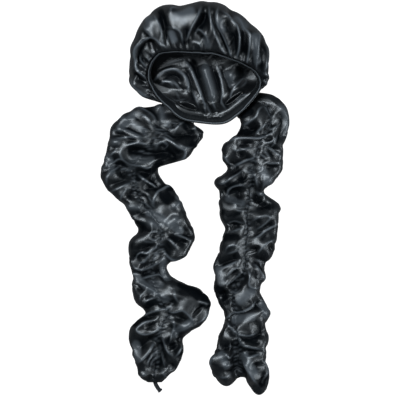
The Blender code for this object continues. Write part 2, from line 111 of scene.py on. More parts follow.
def layFoldsAndPaint(places, rows, gain):
    # For each place, seen from above: the height in metres that the folds add, and how much painted
    # highlight along the crests and painted shade in the hollows lies there, from 0 to 1.
    values = foldValues
    plan = np.stack([values["middleX"] + (places[:, 0] - layout["shiftX"]) / values["square"],
                     values["middleY"] - (places[:, 1] - layout["shiftY"]) / values["square"]], axis=1)
    crests, creases = np.zeros(len(places)), np.zeros(len(places))
    paintedHighlightMask, paintedShadeMask = np.zeros(len(places)), np.zeros(len(places))
    soft = values["soft"]
    for height, half, *course in rows:
        least, spread = values["crestReach"] if height > 0 else values["creaseReach"]
        reach = least + spread * half
        course = np.array(course, dtype=float)
        near = (np.abs(plan[:, 0] - course[:, 0].mean()) < np.ptp(course[:, 0]) / 2 + 4 * reach) \
            & (np.abs(plan[:, 1] - course[:, 1].mean()) < np.ptp(course[:, 1]) / 2 + 4 * reach)
        spots = plan[near]
        line = splineRows(course, 8 * len(course))
        steps = np.linalg.norm(np.diff(line, axis=0), axis=1)
        total = steps.sum()
        runs = np.concatenate([[0.0], np.cumsum(steps)])
        best = np.full(len(spots), 1e9)
        at = np.zeros(len(spots))
        for number in range(len(line) - 1):
            way = line[number + 1] - line[number]
            share = np.clip(((spots - line[number]) @ way) / (way @ way), 0, 1)
            away = np.linalg.norm(spots - line[number] - share[:, None] * way, axis=1)
            closer = away < best
            best = np.where(closer, away, best)
            at = np.where(closer, runs[number] + share * steps[number], at)
        if half >= values["patchHalf"]:
            # a painted highlight patch or a painted shade patch on smooth cloth, without a fold
            edge, slope = values["patchEdge"]
            paintedPatch = ease((edge * half - best) / (slope * half)) * abs(height) / values["patchFull"]
            if height > 0:
                paintedHighlightMask[near] = np.maximum(paintedHighlightMask[near], paintedPatch)
            else:
                paintedShadeMask[near] = np.maximum(paintedShadeMask[near], np.minimum(1.0, paintedPatch * values["patchShade"]))
            continue
        ends = np.minimum(at, total - at) / min(values["taper"], total * values["taperShare"])
        fade = values["endShare"] + (1 - values["endShare"]) * ease(ends)
        strength = abs(height) * 0.001 * gain * np.interp(half, values["halfSteps"], values["halfGains"]) * fade
        if height > 0:
            # a sharp ridge whose sides fall in long hollow slopes
            ridge = values["ridgeShare"] * half
            wide, level = half, min(1.0, height / values["broadFull"]) * values["broadHighlightPaint"]
            if half < values["thinHalf"]:
                wide = values["thinLine"][0] + values["thinLine"][1] * half
                level = min(1.0, height / values["thinFull"])
            # painted highlight along the ridge
            paintedHighlightMask[near] = np.maximum(paintedHighlightMask[near], level * fade * np.exp(-(best / wide) ** 2))
            crests[near] += np.exp(strength * np.exp(-(np.hypot(best, ridge) - ridge) / reach) / soft) - 1
        else:
            # painted shade along the crease
            dark = np.exp(-(best / (1.1 * half + 0.3)) ** 2)
            paintedShadeMask[near] = np.maximum(paintedShadeMask[near], min(1.0, -height / values["shadeFull"]) * fade * dark)
            creases[near] += np.exp(strength * np.exp(-(best / reach) ** values["creasePower"]) / soft) - 1
    return soft * (np.log1p(crests) - np.log1p(creases)), paintedHighlightMask, paintedShadeMask * (1 - paintedHighlightMask)


def selectOnly(piece):
    bpy.ops.object.select_all(action="DESELECT")
    piece.select_set(True)
    bpy.context.view_layer.objects.active = piece


def applyModifier(piece, made):
    selectOnly(piece)
    bpy.ops.object.modifier_apply(modifier=made.name)


def rolledCloth(name, points, marks=None):
    # a flat cloth grid rolled until its long edges meet, then laid on the given places
    along, around = points.shape[:2]
    bpy.ops.object.select_all(action="DESELECT")
    bpy.ops.mesh.primitive_grid_add(x_subdivisions=around, y_subdivisions=along - 1, size=2.0)
    piece = bpy.context.object
    piece.name = name
    piece.data.name = name
    flat = np.empty(len(piece.data.vertices) * 3)
    piece.data.vertices.foreach_get("co", flat)
    flat = flat.reshape(-1, 3)
    column = np.rint((flat[:, 0] + 1) / 2 * around).astype(int) % around
    row = np.rint((flat[:, 1] + 1) / 2 * (along - 1)).astype(int)
    piece.data.vertices.foreach_set("co", points[row, column].ravel())
    # painted highlight and painted shade masks, kept as point attributes for the finish
    for label, grid in (marks or {}).items():
        layer = piece.data.attributes.new(label, "FLOAT", "POINT")
        layer.data.foreach_set("value", grid[row, column].astype(np.float32))
    piece.data.update()
    selectOnly(piece)
    bpy.ops.object.mode_set(mode="EDIT")
    bpy.ops.mesh.select_all(action="SELECT")
    bpy.ops.mesh.remove_doubles(threshold=0.00001)
    bpy.ops.mesh.normals_make_consistent(inside=False)
    bpy.ops.object.mode_set(mode="OBJECT")
    bpy.ops.object.shade_smooth()
    return piece


def readPlaces(piece):
    flat = np.empty(len(piece.data.vertices) * 3)
    piece.data.vertices.foreach_get("co", flat)
    return flat.reshape(-1, 3)


def weightGroup(piece, name, weights):
    group = piece.vertex_groups.new(name=name)
    most = clothSettings["weightSteps"]
    steps = np.rint(np.clip(weights, 0, 1) * most).astype(int)
    for step in np.unique(steps):
        group.add(np.flatnonzero(steps == step).tolist(), float(step) / most, "REPLACE")


def finerGrid(grid, rows, columns):
    tall = splineRows(grid, rows, at=np.linspace(0, 1, rows))
    wide = splineRows(tall.swapaxes(0, 1), columns, closed=True, at=np.arange(columns) / columns)
    return wide.swapaxes(0, 1)


def gatherCloth(points, held, values):
    # lets a coarse cloth grow a little between its held seams, and gives how far each place of
    # the fine grid moves
    settings, every = clothSettings, clothSettings["every"]
    coarse = points[::every, ::every]
    piece = rolledCloth("gatherCloth", coarse)
    before = readPlaces(piece)
    tree = KDTree(len(before))
    for number, place in enumerate(before):
        tree.insert(place, number)
    tree.balance()
    spots = coarse.reshape(-1, 3)
    number = np.array([tree.find(place)[1] for place in spots])
    weights = np.zeros(len(before))
    weights[number] = held[::every, ::every].ravel()
    weightGroup(piece, "held", weights)
    made = piece.modifiers.new("gather", "CLOTH")
    cloth = made.settings
    cloth.quality = settings["quality"]
    cloth.mass = settings["mass"]
    cloth.tension_stiffness = cloth.compression_stiffness = settings["stretch"]
    cloth.shear_stiffness = settings["shear"]
    cloth.bending_stiffness = values["bending"]
    cloth.tension_damping = cloth.compression_damping = cloth.shear_damping = settings["damping"]
    cloth.bending_damping = settings["bendDamping"]
    cloth.air_damping = settings["airDamping"]
    cloth.vertex_group_mass = "held"
    cloth.pin_stiffness = 1.0
    cloth.use_pressure = True
    cloth.uniform_pressure_force = values["pressure"]
    cloth.shrink_min = -values["growth"]
    cloth.effector_weights.gravity = 0
    made.collision_settings.use_collision = False
    made.collision_settings.use_self_collision = False
    made.point_cache.frame_start = 1
    made.point_cache.frame_end = values["frames"]
    scene = bpy.context.scene
    for step in range(1, values["frames"] + 1):
        scene.frame_set(step)
    applyModifier(piece, made)
    scene.frame_set(1)
    move = readPlaces(piece) - before
    size = np.linalg.norm(move, axis=1, keepdims=True)
    limit = values["cap"]
    move *= np.minimum(1.0, limit * np.tanh(size / limit) / (size + 1e-9))
    bpy.data.objects.remove(piece)
    print("cloth gathered; mean move mm", round(float(size.mean()) * 1000, 2),
          "most", round(float(size.max()) * 1000, 1))
    return finerGrid(move[number].reshape(coarse.shape), points.shape[0], points.shape[1])


def thicken(piece, wall):
    made = piece.modifiers.new("wall", "SOLIDIFY")
    made.thickness = wall
    made.offset = -1.0
    made.use_even_offset = False
    applyModifier(piece, made)


def softSmooth(piece, rounds):
    made = piece.modifiers.new("soften", "SMOOTH")
    made.iterations = rounds
    made.factor = 0.5
    applyModifier(piece, made)


def laidOn(places):
    # keeps the cloth just above the surface that it lies on
    places[:, :, 2] = np.maximum(places[:, :, 2], layout["floorLift"])
    return places


crownValues = {
    "cutSize": (0.375, 0.375), "cutArea": 0.109,
    "rimCentre": (0.0180, 0.2050), "rimHalfWidth": 0.1062, "rimHalfDepth": 0.0670, "rimRise": 0.086,
    "sideFullness": 0.0228, "backFullness": 0.0442, "shoulderRise": 0.020,
    "crownShift": (-0.0095, 0.0450), "poleShift": (-0.0060, 0.0430), "around": 360, "down": 97,
    "gathers": 46, "gatherDepth": 0.0030, "valleyGain": 0.25, "foldGain": 1.6, "insideGain": 1.3,
    "innerLift": 0.009, "bowlSmooth": 40, "calmNear": 0.017, "calmWide": 0.014, "holeSpare": 0.0007,
    "growth": 0.02, "bending": 4.0, "frames": 14, "pressure": 1.2, "cap": 0.0035,
}

# Round the rim, from the right over the back, the left and the front:
# rim x, rim y, outline x, outline y, rise of the rim, rise of the shoulder, lean of the band
aroundRows = (
    (1.00, 0.01, 1.01, -0.34, 0.62, 0.54, 0.40),
    (0.96, 0.36, 0.99, -0.05, 0.72, 0.66, 0.22),
    (0.74, 0.63, 0.97, 0.30, 0.82, 0.80, 0.10),
    (0.47, 0.81, 0.79, 0.60, 0.92, 0.92, 0.04),
    (0.19, 0.96, 0.50, 0.87, 0.97, 1.00, 0.02),
    (-0.07, 0.99, 0.14, 1.02, 1.00, 1.00, 0.00),
    (-0.32, 1.00, -0.19, 0.96, 1.00, 0.98, 0.00),
    (-0.56, 1.00, -0.55, 0.93, 0.98, 0.95, 0.02),
    (-0.81, 0.93, -0.80, 0.68, 0.92, 0.88, 0.06),
    (-0.95, 0.67, -0.96, 0.30, 0.82, 0.80, 0.12),
    (-1.00, 0.36, -0.98, -0.03, 0.72, 0.68, 0.20),
    (-0.96, 0.06, -0.98, -0.32, 0.62, 0.56, 0.34),
    (-0.81, -0.31, -0.75, -0.55, 0.53, 0.42, 0.62),
    (-0.63, -0.57, -0.52, -0.70, 0.49, 0.36, 0.74),
    (-0.41, -0.86, -0.26, -0.92, 0.47, 0.33, 0.80),
    (-0.05, -0.98, 0.04, -0.97, 0.42, 0.30, 0.82),
    (0.35, -0.99, 0.37, -0.97, 0.44, 0.30, 0.82),
    (0.65, -0.68, 0.60, -0.79, 0.49, 0.36, 0.80),
    (0.85, -0.34, 0.79, -0.59, 0.54, 0.42, 0.68),
)

# Main valleys of the crown: place round the rim, where it starts and ends on the way down,
# depth in millimetres, half width as a share of the way round
crownValleys = (
    (0.052, 0.10, 0.62, 6.0, 0.010),
    (0.105, 0.04, 0.66, 8.0, 0.011),
    (0.172, 0.04, 0.60, 7.0, 0.011),
    (0.212, 0.06, 0.64, 8.0, 0.010),
    (0.268, 0.03, 0.70, 11.0, 0.012),
    (0.330, 0.08, 0.58, 7.0, 0.013),
    (0.395, 0.04, 0.66, 9.0, 0.012),
    (0.452, 0.06, 0.60, 8.0, 0.012),
    (0.505, 0.04, 0.64, 9.0, 0.011),
    (0.560, 0.06, 0.60, 8.0, 0.010),
)

# Sleeve mouths: place round the rim, place down the fabric, and that place in the sleeve's own
# shares. Then the half width and half height of the sewn holes.
leftMouth = (0.737, 0.285, -0.0384, 0.2368)
rightMouth = (0.916, 0.285, 0.2126, 0.2543)
leftHole = (0.0170, 0.0072)
rightHole = (0.0180, 0.0056)

# Folds read from the photograph: the height of a crest or, below 0, the depth of a crease in
# millimetres, the half width in plan squares, then the course in plan squares. Each row also lays a
# painted highlight along its crest or painted shade along its crease. A row with a half width of
# foldValues' patchHalf or more is only a painted highlight patch or, below 0, a painted shade patch,
# its height ten times its strength.
crownFoldsAndPaintedLight = (
    (6.5, 6.0, (176, 20), (190, 14)),
    (8, 4.6, (172, 36), (174, 41)),
    (4.5, 4.4, (219, 24), (222, 32)),
    (5, 4.6, (237, 18), (246, 26)),
    (4.5, 4.6, (254, 38), (257, 62)),
    (4, 5.0, (151, 22), (150, 32)),
    (4, 4.4, (206, 42), (208, 46)),
    (-9, 5.5, (204, 16), (199, 30)),
    (-9, 4.6, (238, 34), (244, 52)),
    (-9, 4.6, (161, 14), (165, 30)),
    (-7, 4.4, (232, 38), (234, 50)),
    (-8, 5.0, (186, 34), (186, 42)),
    (-8, 4.6, (143, 52), (141, 62)),
    (-6, 6.0, (262, 30), (268, 50)),
    (7, 1.3, (201, 6), (198, 17), (192, 29), (187, 42)),
    (-11, 3.2, (206, 5), (204, 20), (198, 32), (191, 44)),
    (5, 1.2, (171, 19), (172, 12), (180, 10)),
    (5.5, 4.8, (182, 20), (184, 24)),
    (-6, 1.4, (190, 26), (187, 34), (186, 44)),
    (5, 1.3, (166, 30), (174, 30), (181, 34), (183, 46)),
    (5, 1.2, (167, 50), (168, 42), (170, 36)),
    (-9, 2.2, (157, 8), (162, 20), (165, 32), (168, 50)),
    (6, 1.4, (152, 14), (157, 22), (161, 32), (164, 50)),
    (5, 1.5, (144, 25), (149, 35), (156, 41), (166, 50)),
    (5, 1.5, (147, 28), (149, 22), (154, 16)),
    (-6, 2.2, (143, 31), (147, 38), (155, 45)),
    (6, 1.5, (209, 6), (210, 20), (215, 36), (226, 58)),
    (-8, 1.8, (213, 8), (213, 24), (220, 38), (229, 58)),
    (7, 1.3, (219, 8), (216, 20), (219, 32), (226, 44), (233, 62)),
    (-6, 2.4, (224, 20), (228, 32), (231, 46)),
    (7, 1.5, (221, 13), (231, 22), (238, 32), (239, 46), (236, 62)),
    (-6, 2.2, (233, 32), (235, 46), (238, 64)),
    (-9, 3.0, (226, 6), (237, 16), (245, 26), (245, 42), (243, 64)),
    (6, 1.5, (234, 12), (244, 22), (249, 34), (249, 48), (246, 68)),
    (-5, 1.4, (252, 32), (253, 46), (252, 70)),
    (6, 1.4, (256, 30), (258, 44), (256, 72)),
    (-5, 2.2, (260, 36), (262, 50), (260, 76)),
    (5, 1.6, (265, 40), (267, 54), (264, 74)),
    (6, 1.4, (194, 40), (199, 34), (207, 39), (208, 50)),
    (-5, 1.3, (198, 42), (203, 39), (204, 46)),
    (5, 1.2, (192, 44), (198, 44), (203, 50)),
    (7, 1.8, (168, 50), (155, 40), (145, 42), (136, 50), (134, 62), (139, 72), (150, 82)),
    (-11, 3.2, (160, 48), (149, 46), (142, 52), (138, 61), (143, 72)),
    (5, 1.2, (141, 56), (142, 62), (148, 70)),
    (-4, 1.0, (144, 56), (146, 62), (151, 69)),
    (5, 1.2, (147, 55), (149, 60), (155, 66)),
    (-4, 1.0, (150, 53), (152, 58), (157, 63)),
    (5, 1.2, (152, 55), (155, 57), (162, 58)),
    (-7, 2.4, (133, 68), (137, 76), (148, 86)),
    (6, 1.8, (130, 78), (137, 87), (152, 98)),
    (-4, 2.0, (134, 46), (132, 56), (131, 68)),
    (4, 1.2, (262, 73), (267, 76), (269, 82)),
    (4, 1.2, (262, 80), (266, 83), (266, 88)),
    (-4, 1.1, (262, 77), (265, 80), (265, 85)),
)
insideFoldsAndPaintedLight = (
    (5, 4.4, (205, 66), (212, 94)),
    (4, 4.4, (228, 74), (232, 84)),
    (4, 4.4, (160, 96), (166, 104)),
    (3.5, 4.3, (237, 98), (240, 100)),
    (-8, 4.4, (193, 62), (199, 76)),
    (-8, 4.4, (216, 74), (219, 88)),
    (8, 2.0, (152, 84), (158, 76), (166, 70), (176, 69), (184, 75), (188, 84), (187, 94)),
    (-7, 2.6, (160, 82), (168, 76), (177, 76), (183, 85)),
    (7, 1.8, (160, 87), (164, 81), (171, 82), (174, 89)),
    (-5, 1.6, (166, 87), (169, 94), (170, 100)),
    (6, 1.3, (170, 78), (177, 85), (183, 95)),
    (-5, 1.3, (175, 77), (179, 84), (185, 92)),
    (5, 1.3, (168, 84), (176, 92), (180, 101)),
    (-5, 1.4, (172, 90), (176, 98), (178, 104)),
    (5, 1.2, (170, 96), (176, 101), (186, 99)),
    (-8, 2.0, (176, 106), (184, 106), (189, 105)),
    (5, 1.4, (177, 103), (184, 103), (189, 101)),
    (8, 1.6, (184, 58), (191, 70), (197, 84), (202, 98), (206, 113)),
    (-8, 2.0, (188, 57), (195, 67), (200, 80), (206, 96), (209, 106)),
    (-6, 2.2, (183, 66), (189, 78), (192, 92), (195, 106)),
    (5, 1.5, (192, 88), (196, 98), (199, 108)),
    (7, 3.8, (203, 62), (208, 78), (212, 92), (215, 104)),
    (-8, 1.8, (210, 60), (214, 74), (219, 90), (221, 106)),
    (5, 1.2, (211, 96), (214, 105), (217, 112)),
    (-5, 1.2, (208, 99), (211, 107), (213, 114)),
    (6, 1.5, (216, 62), (221, 78), (223, 92), (222, 102), (227, 111)),
    (-7, 1.6, (220, 62), (224, 74), (229, 86), (229, 98)),
    (6, 3.6, (226, 68), (232, 78), (235, 88)),
    (-5, 2.6, (236, 64), (243, 71), (246, 78)),
    (7, 1.4, (248, 72), (241, 80), (234, 89), (231, 97), (233, 105)),
    (-6, 2.4, (238, 90), (242, 96), (238, 102)),
    (5, 2.2, (240, 88), (245, 84), (247, 76)),
    (5, 1.2, (240, 97), (245, 95), (249, 97)),
    (-5, 1.2, (225, 100), (227, 106), (229, 110)),
    (4, 1.1, (205, 104), (208, 110), (212, 116)),
    (-4, 1.1, (202, 106), (205, 112), (208, 117)),
    (4, 1.1, (164, 66), (172, 62), (182, 59), (190, 56)),
    (-4, 1.6, (156, 72), (166, 67), (178, 63)),
)


def rimStations(count):
    values = crownValues
    rows = splineRows(aroundRows, count, closed=True)
    rim = np.zeros((count, 3))
    rim[:, 0] = values["rimCentre"][0] + rows[:, 0] * values["rimHalfWidth"] + layout["shiftX"]
    rim[:, 1] = values["rimCentre"][1] + rows[:, 1] * values["rimHalfDepth"] + layout["shiftY"]
    rim[:, 2] = rows[:, 4] * values["rimRise"]
    edge = np.zeros((count, 3))
    halfWidth = values["rimHalfWidth"] + values["sideFullness"]
    halfDepth = values["rimHalfDepth"] + values["backFullness"]
    edge[:, 0] = values["rimCentre"][0] + values["crownShift"][0] + rows[:, 2] * halfWidth + layout["shiftX"]
    edge[:, 1] = values["rimCentre"][1] + values["crownShift"][1] + rows[:, 3] * halfDepth + layout["shiftY"]
    shoulder = rows[:, 5] * (values["rimRise"] + values["shoulderRise"])
    return rim, edge, shoulder, rows[:, 6]


def polePlace():
    values = crownValues
    return np.array((values["rimCentre"][0] + values["poleShift"][0] + layout["shiftX"],
                     values["rimCentre"][1] + values["poleShift"][1] + layout["shiftY"], 0.0))


def inwardOf(rim):
    values = crownValues
    centre = np.array((*values["rimCentre"], 0.0)) + (layout["shiftX"], layout["shiftY"], 0.0)
    inward = (polePlace() + centre) / 2 - rim
    inward[2] = 0.0
    return inward / np.linalg.norm(inward)


def bandSlope(rim, lean):
    inward = inwardOf(rim)
    drop = math.sqrt(1.0 - lean * lean)
    return inward * lean - np.array((0, 0, drop)), inward * drop + np.array((0, 0, lean))


def crownProfile(rim, edge, shoulder, lean, shares):
    up = np.array((0.0, 0.0, 1.0))
    pole = polePlace()
    inward = inwardOf(rim)
    slope, _ = bandSlope(rim, lean)
    wide = bandValues["width"]
    low = rim + slope * wide * 1.05
    floorAt = low + inward * low[2] * 0.95
    floorAt[2] = 0.0
    tucked = [rim, rim + slope * wide * 0.35, rim + slope * wide * 0.70,
              low, low * 0.52 + floorAt * 0.48, low * 0.12 + floorAt * 0.88,
              floorAt * 0.80 + pole * 0.20, floorAt * 0.45 + pole * 0.55, pole]
    flatRim = np.array((rim[0], rim[1], 0.0))
    puffed = [rim, flatRim * 0.80 + edge * 0.20 + up * (rim[2] * 0.62 + shoulder * 0.38),
              flatRim * 0.50 + edge * 0.50 + up * shoulder,
              flatRim * 0.16 + edge * 0.84 + up * shoulder * 0.94,
              edge + up * shoulder * 0.58, edge * 0.94 + pole * 0.06 + up * shoulder * 0.18,
              edge * 0.80 + pole * 0.20, edge * 0.45 + pole * 0.55, pole]
    puff = float(ease((np.linalg.norm(edge - flatRim) - 0.004) / 0.018))
    line = splineRows(np.array(tucked) * (1 - puff) + np.array(puffed) * puff, crownValues["down"])
    line[:, 2] = np.maximum(line[:, 2], 0.0)
    return evenPlaces(line, shares), puff


def crownShares(down):
    # rows lie closer together near the rim, where the gathers are fine
    even = np.linspace(0, 1, down)
    return 0.62 * even + 0.38 * even ** 2


def crownPlaces():
    values = crownValues
    around, down = values["around"], values["down"]
    rim, edge, shoulder, lean = rimStations(around)
    shares = crownShares(down)
    points = np.zeros((down, around, 3))
    puffs = np.zeros(around)
    for column in range(around):
        points[:, column], puffs[column] = crownProfile(rim[column], edge[column], shoulder[column],
                                                        lean[column], shares)
    normal = gridNormals(points)
    if np.sum(normal[20] * (points[20] - points.mean(axis=(0, 1)))) < 0:
        normal = -normal
    turn = np.arange(around)[None, :] / around
    share = shares[:, None]
    puff = puffs[None, :]
    warp = 0.45 * wobble(turn * 40, share * 4, 1) + 0.25 * wobble(turn * 110, share * 9, 2)
    fine = puffWave(turn * values["gathers"] + warp)
    middle = puffWave(turn * values["gathers"] / 2 + warp * 0.8 + 0.2)
    broad = puffWave(turn * values["gathers"] / 4 + warp * 0.6 + 0.1)
    early, late = ease(share / 0.14), ease((share - 0.08) / 0.20)
    wave = (fine * (1 - early) + middle * early) * (1 - late) + broad * late * 0.6
    swell = ease(share / 0.025) * (1.0 - ease((share - 0.09) / 0.12))
    push = values["gatherDepth"] * (0.75 + 0.25 * early) * (wave - 0.25) * swell * puff
    for at, start, end, depth, half in crownValleys:
        near = np.exp(-((turn - at + 0.006 * np.sin(share * 20 + at * 40)) / half) ** 2)
        inside = ease((share - start) / 0.08) * ease((end - share) / 0.12)
        push = push - depth * 0.001 * near * inside * puff * values["valleyGain"]
    outer, outerPaintedHighlight, outerPaintedShade = (
        grid.reshape(down, around) for grid in layFoldsAndPaint(points.reshape(-1, 3), crownFoldsAndPaintedLight, values["foldGain"]))
    seen = ease(normal[:, :, 2] * 1.5 + 0.30) * ease(share / 0.02)
    push = (push + outer * seen) * (points[:, :, 2] > 0.004)
    base = points.copy()
    bowl = ease((share - 0.10) / 0.12) * (1 - puff) + ease((share - 0.52) / 0.08) * puff
    base[:, :, 2] += bowl * values["innerLift"]
    for _ in range(values["bowlSmooth"]):
        near = (np.roll(base, 1, axis=1) + np.roll(base, -1, axis=1)) / 2
        near[1:-1] = (near[1:-1] + (base[2:] + base[:-2]) / 2) / 2
        near[-1] = base[-2].mean(axis=0)
        base = base + (near - base) * (bowl * 0.7)[:, :, None]
    inner, innerPaintedHighlight, innerPaintedShade = (
        grid.reshape(down, around) for grid in layFoldsAndPaint(base.reshape(-1, 3), insideFoldsAndPaintedLight, values["insideGain"]))
    upward = np.clip(-normal[:, :, 2] * 2.0 + 0.1, 0, 1) * bowl
    for mouth in (leftMouth, rightMouth):
        away = np.linalg.norm(base - mouthFrame(base, shares, mouth)[0], axis=2)
        calm = ease((away - values["calmNear"]) / values["calmWide"])
        inner, push = inner * calm, push * calm
    way = -normal.copy()
    way[:, :, 2] = np.maximum(way[:, :, 2], 0.6)
    moved = laidOn(base + normal * push[:, :, None] + way * (inner * upward)[:, :, None])
    moved[-1] = moved[-1].mean(axis=0)
    # painted highlight on the crests and painted shade in the hollows, outside and inside
    marks = {"paintedHighlight": np.maximum(outerPaintedHighlight * seen, innerPaintedHighlight * upward),
             "paintedShade": np.maximum(outerPaintedShade * seen, innerPaintedShade * upward)}
    return moved, points, base, shares, marks


def mouthFrame(points, shares, mouth):
    turn, depth = mouth[:2]
    column = int(round(turn * points.shape[1]))

    def at(col, share):
        return np.array([np.interp(share, shares, points[:, col % points.shape[1], k]) for k in range(3)])

    reach = int(round(points.shape[1] * 3 / 80))
    centre = at(column, depth)
    side = at(column + reach, depth) - at(column - reach, depth)
    side[2] = 0.0
    side /= np.linalg.norm(side)
    slope = at(column, depth - 0.07) - at(column, depth + 0.07)
    slope -= side * np.dot(slope, side)
    slope /= np.linalg.norm(slope)
    out = np.cross(slope, side)
    if out[2] > 0:
        out = -out
    return centre, side, slope, out


def openMouth(piece, place, reachA, reachB):
    # cuts the round hole that a sleeve is sewn into
    centre, side, slope, out = place
    selectOnly(piece)
    bpy.ops.object.mode_set(mode="EDIT")
    bpy.ops.mesh.select_mode(type="FACE")
    bpy.ops.mesh.select_all(action="DESELECT")
    bpy.ops.object.mode_set(mode="OBJECT")
    for polygon in piece.data.polygons:
        away = np.array(polygon.center) - centre
        a, b, c = away @ side / reachA, away @ slope / reachB, away @ out
        polygon.select = bool(a * a + b * b < 0.96 and abs(c) < 0.010)
    bpy.ops.object.mode_set(mode="EDIT")
    bpy.ops.mesh.delete(type="FACE")
    bpy.ops.object.mode_set(mode="OBJECT")
    counts = {}
    for polygon in piece.data.polygons:
        for key in polygon.edge_keys:
            counts[key] = counts.get(key, 0) + 1
    edgeVerts = {v for key, n in counts.items() if n == 1 for v in key}
    for index in edgeVerts:
        vertex = piece.data.vertices[index]
        away = np.array(vertex.co) - centre
        a, b, c = away @ side / reachA, away @ slope / reachB, away @ out
        span = math.hypot(a, b)
        if 0.5 < span < 1.6 and abs(c) < 0.012:
            new = centre + side * a / span * reachA + slope * b / span * reachB + out * c
            vertex.co = Vector(new)
    piece.data.update()


def buildCrown(finish):
    values = crownValues
    moved, plain, settled, shares, marks = crownPlaces()
    frames = [mouthFrame(settled, shares, mouth) for mouth in (leftMouth, rightMouth)]
    starts = [mouthFrame(plain, shares, mouth)[0] for mouth in (leftMouth, rightMouth)]
    share = shares[:, None]
    held = np.zeros(moved.shape[:2]) + 0.10 + 0.9 * (1 - ease((share - 0.02) / 0.05)) \
        + 0.15 * ease((share - 0.6) / 0.2)
    for place in frames:
        held = np.maximum(held, 1 - ease((np.linalg.norm(moved - place[0], axis=2) - 0.026) / 0.012))
    moved = laidOn(moved + gatherCloth(moved, np.clip(held, 0, 1), values))
    moved[-1] = moved[-1].mean(axis=0)
    crown = rolledCloth("satinCrown", moved, marks)
    softSmooth(crown, 2)
    for place, hole in zip(frames, (leftHole, rightHole)):
        openMouth(crown, place, hole[0] + values["holeSpare"], hole[1] + values["holeSpare"])
    thicken(crown, layout["clothWall"])
    crown.data.materials.append(finish)
    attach(crown, "root")
    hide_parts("crown")
    print("crown made:", len(crown.data.polygons), "faces")
    return frames, starts


bandValues = {"width": 0.021, "thick": 0.0013, "around": 480, "clearFace": 0.0019, "clearSlope": 0.0004,
              "puckers": 120, "puckerDepth": 0.00028, "waveDepth": 0.0006, "stitches": 160}

# The band's section from its rolled edge to its lower edge: across, lift
bandSection = (
    (-0.02, 0.6), (0.0, 1.5), (0.05, 2.1), (0.10, 1.9), (0.15, 1.0), (0.22, 0.75), (0.30, 1.0),
    (0.5, 1.25), (0.7, 1.1), (0.82, 0.8), (0.88, 1.0), (0.94, 1.5), (0.99, 1.2), (1.0, 0.5),
    (0.97, 0.0), (0.5, 0.0), (0.03, 0.0),
)
# the painted highlight on the band's beads: the section's row, the level there
bandBeadHighlight = ((0, 0.2), (1, 0.9), (2, 1.0), (3, 0.6), (4, 0), (10, 0), (11, 0.5), (12, 0.3), (13, 0))


def buildBand(finish):
    # the elastic's casing: a flat satin tube with rolled edges, puckered between its stitches
    values = bandValues
    around = values["around"]
    rim, _, _, lean = rimStations(around)
    points = np.zeros((len(bandSection), around, 3))
    for column in range(around):
        slope, face = bandSlope(rim[column], lean[column])
        base = rim[column] + face * values["clearFace"] + slope * values["clearSlope"]
        turn = column / around
        phase = 2 * math.pi * turn * values["puckers"] + 1.5 * wobble(turn * 90, 0.0, 11)
        pucker = values["puckerDepth"] * math.sin(phase)
        for row, (across, lift) in enumerate(bandSection):
            bulge = pucker * math.sin(math.pi * across) * (lift > 0.2)
            wave = values["waveDepth"] * wobble(turn * 130, 0.0, 12) * (1 - across)
            points[row, column] = base + slope * across * values["width"] \
                + face * (lift * values["thick"] + bulge + wave)
    closed = np.concatenate([points, points[:1]], axis=0)
    # painted highlight along the rolled bead edges, a little stronger at each stitch
    paintedBeadHighlight = np.interp(np.arange(len(bandSection)), *zip(*bandBeadHighlight))
    stitchedHighlight = 0.8 + 0.2 * np.cos(2 * np.pi * np.arange(around) * values["stitches"] / around)
    paintedBeadHighlight = np.append(paintedBeadHighlight, paintedBeadHighlight[0])[:, None] * stitchedHighlight[None, :]
    band = rolledCloth("elasticBand", closed, {"paintedHighlight": paintedBeadHighlight, "paintedShade": paintedBeadHighlight * 0})
    band.data.materials.append(finish)
    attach(band, "root")
    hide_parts("rim_band")
    print("band made:", len(band.data.polygons), "faces")


sleeveValues = {
    "spread": 0.342, "run": 0.722, "reach": 0.084, "height": 0.050,
    "mouthSlide": 0.0035, "mouthFlare": 1.16, "wide": 0.75, "flat": 0.55, "pinchGain": 0.35,
    "pinchWide": 0.26, "hemDrop": 0.033, "shortSide": 0.50, "lobeAt": (0.50, 0.72), "lobeHalf": 0.46,
    "upperSides": 96, "lowerSides": 48, "rings": 331, "courseSteps": 700,
    "puckerPitch": 0.0098, "puckerDepth": 0.0026, "rungHighlightPaint": 0.65, "seamDepth": 0.0045,
    "foldPitch": 0.040, "foldDepth": 0.0022, "foldGain": 1.5,
    "growth": 0.02, "bending": 4.0, "frames": 14, "pressure": 1.2, "cap": 0.0035,
}

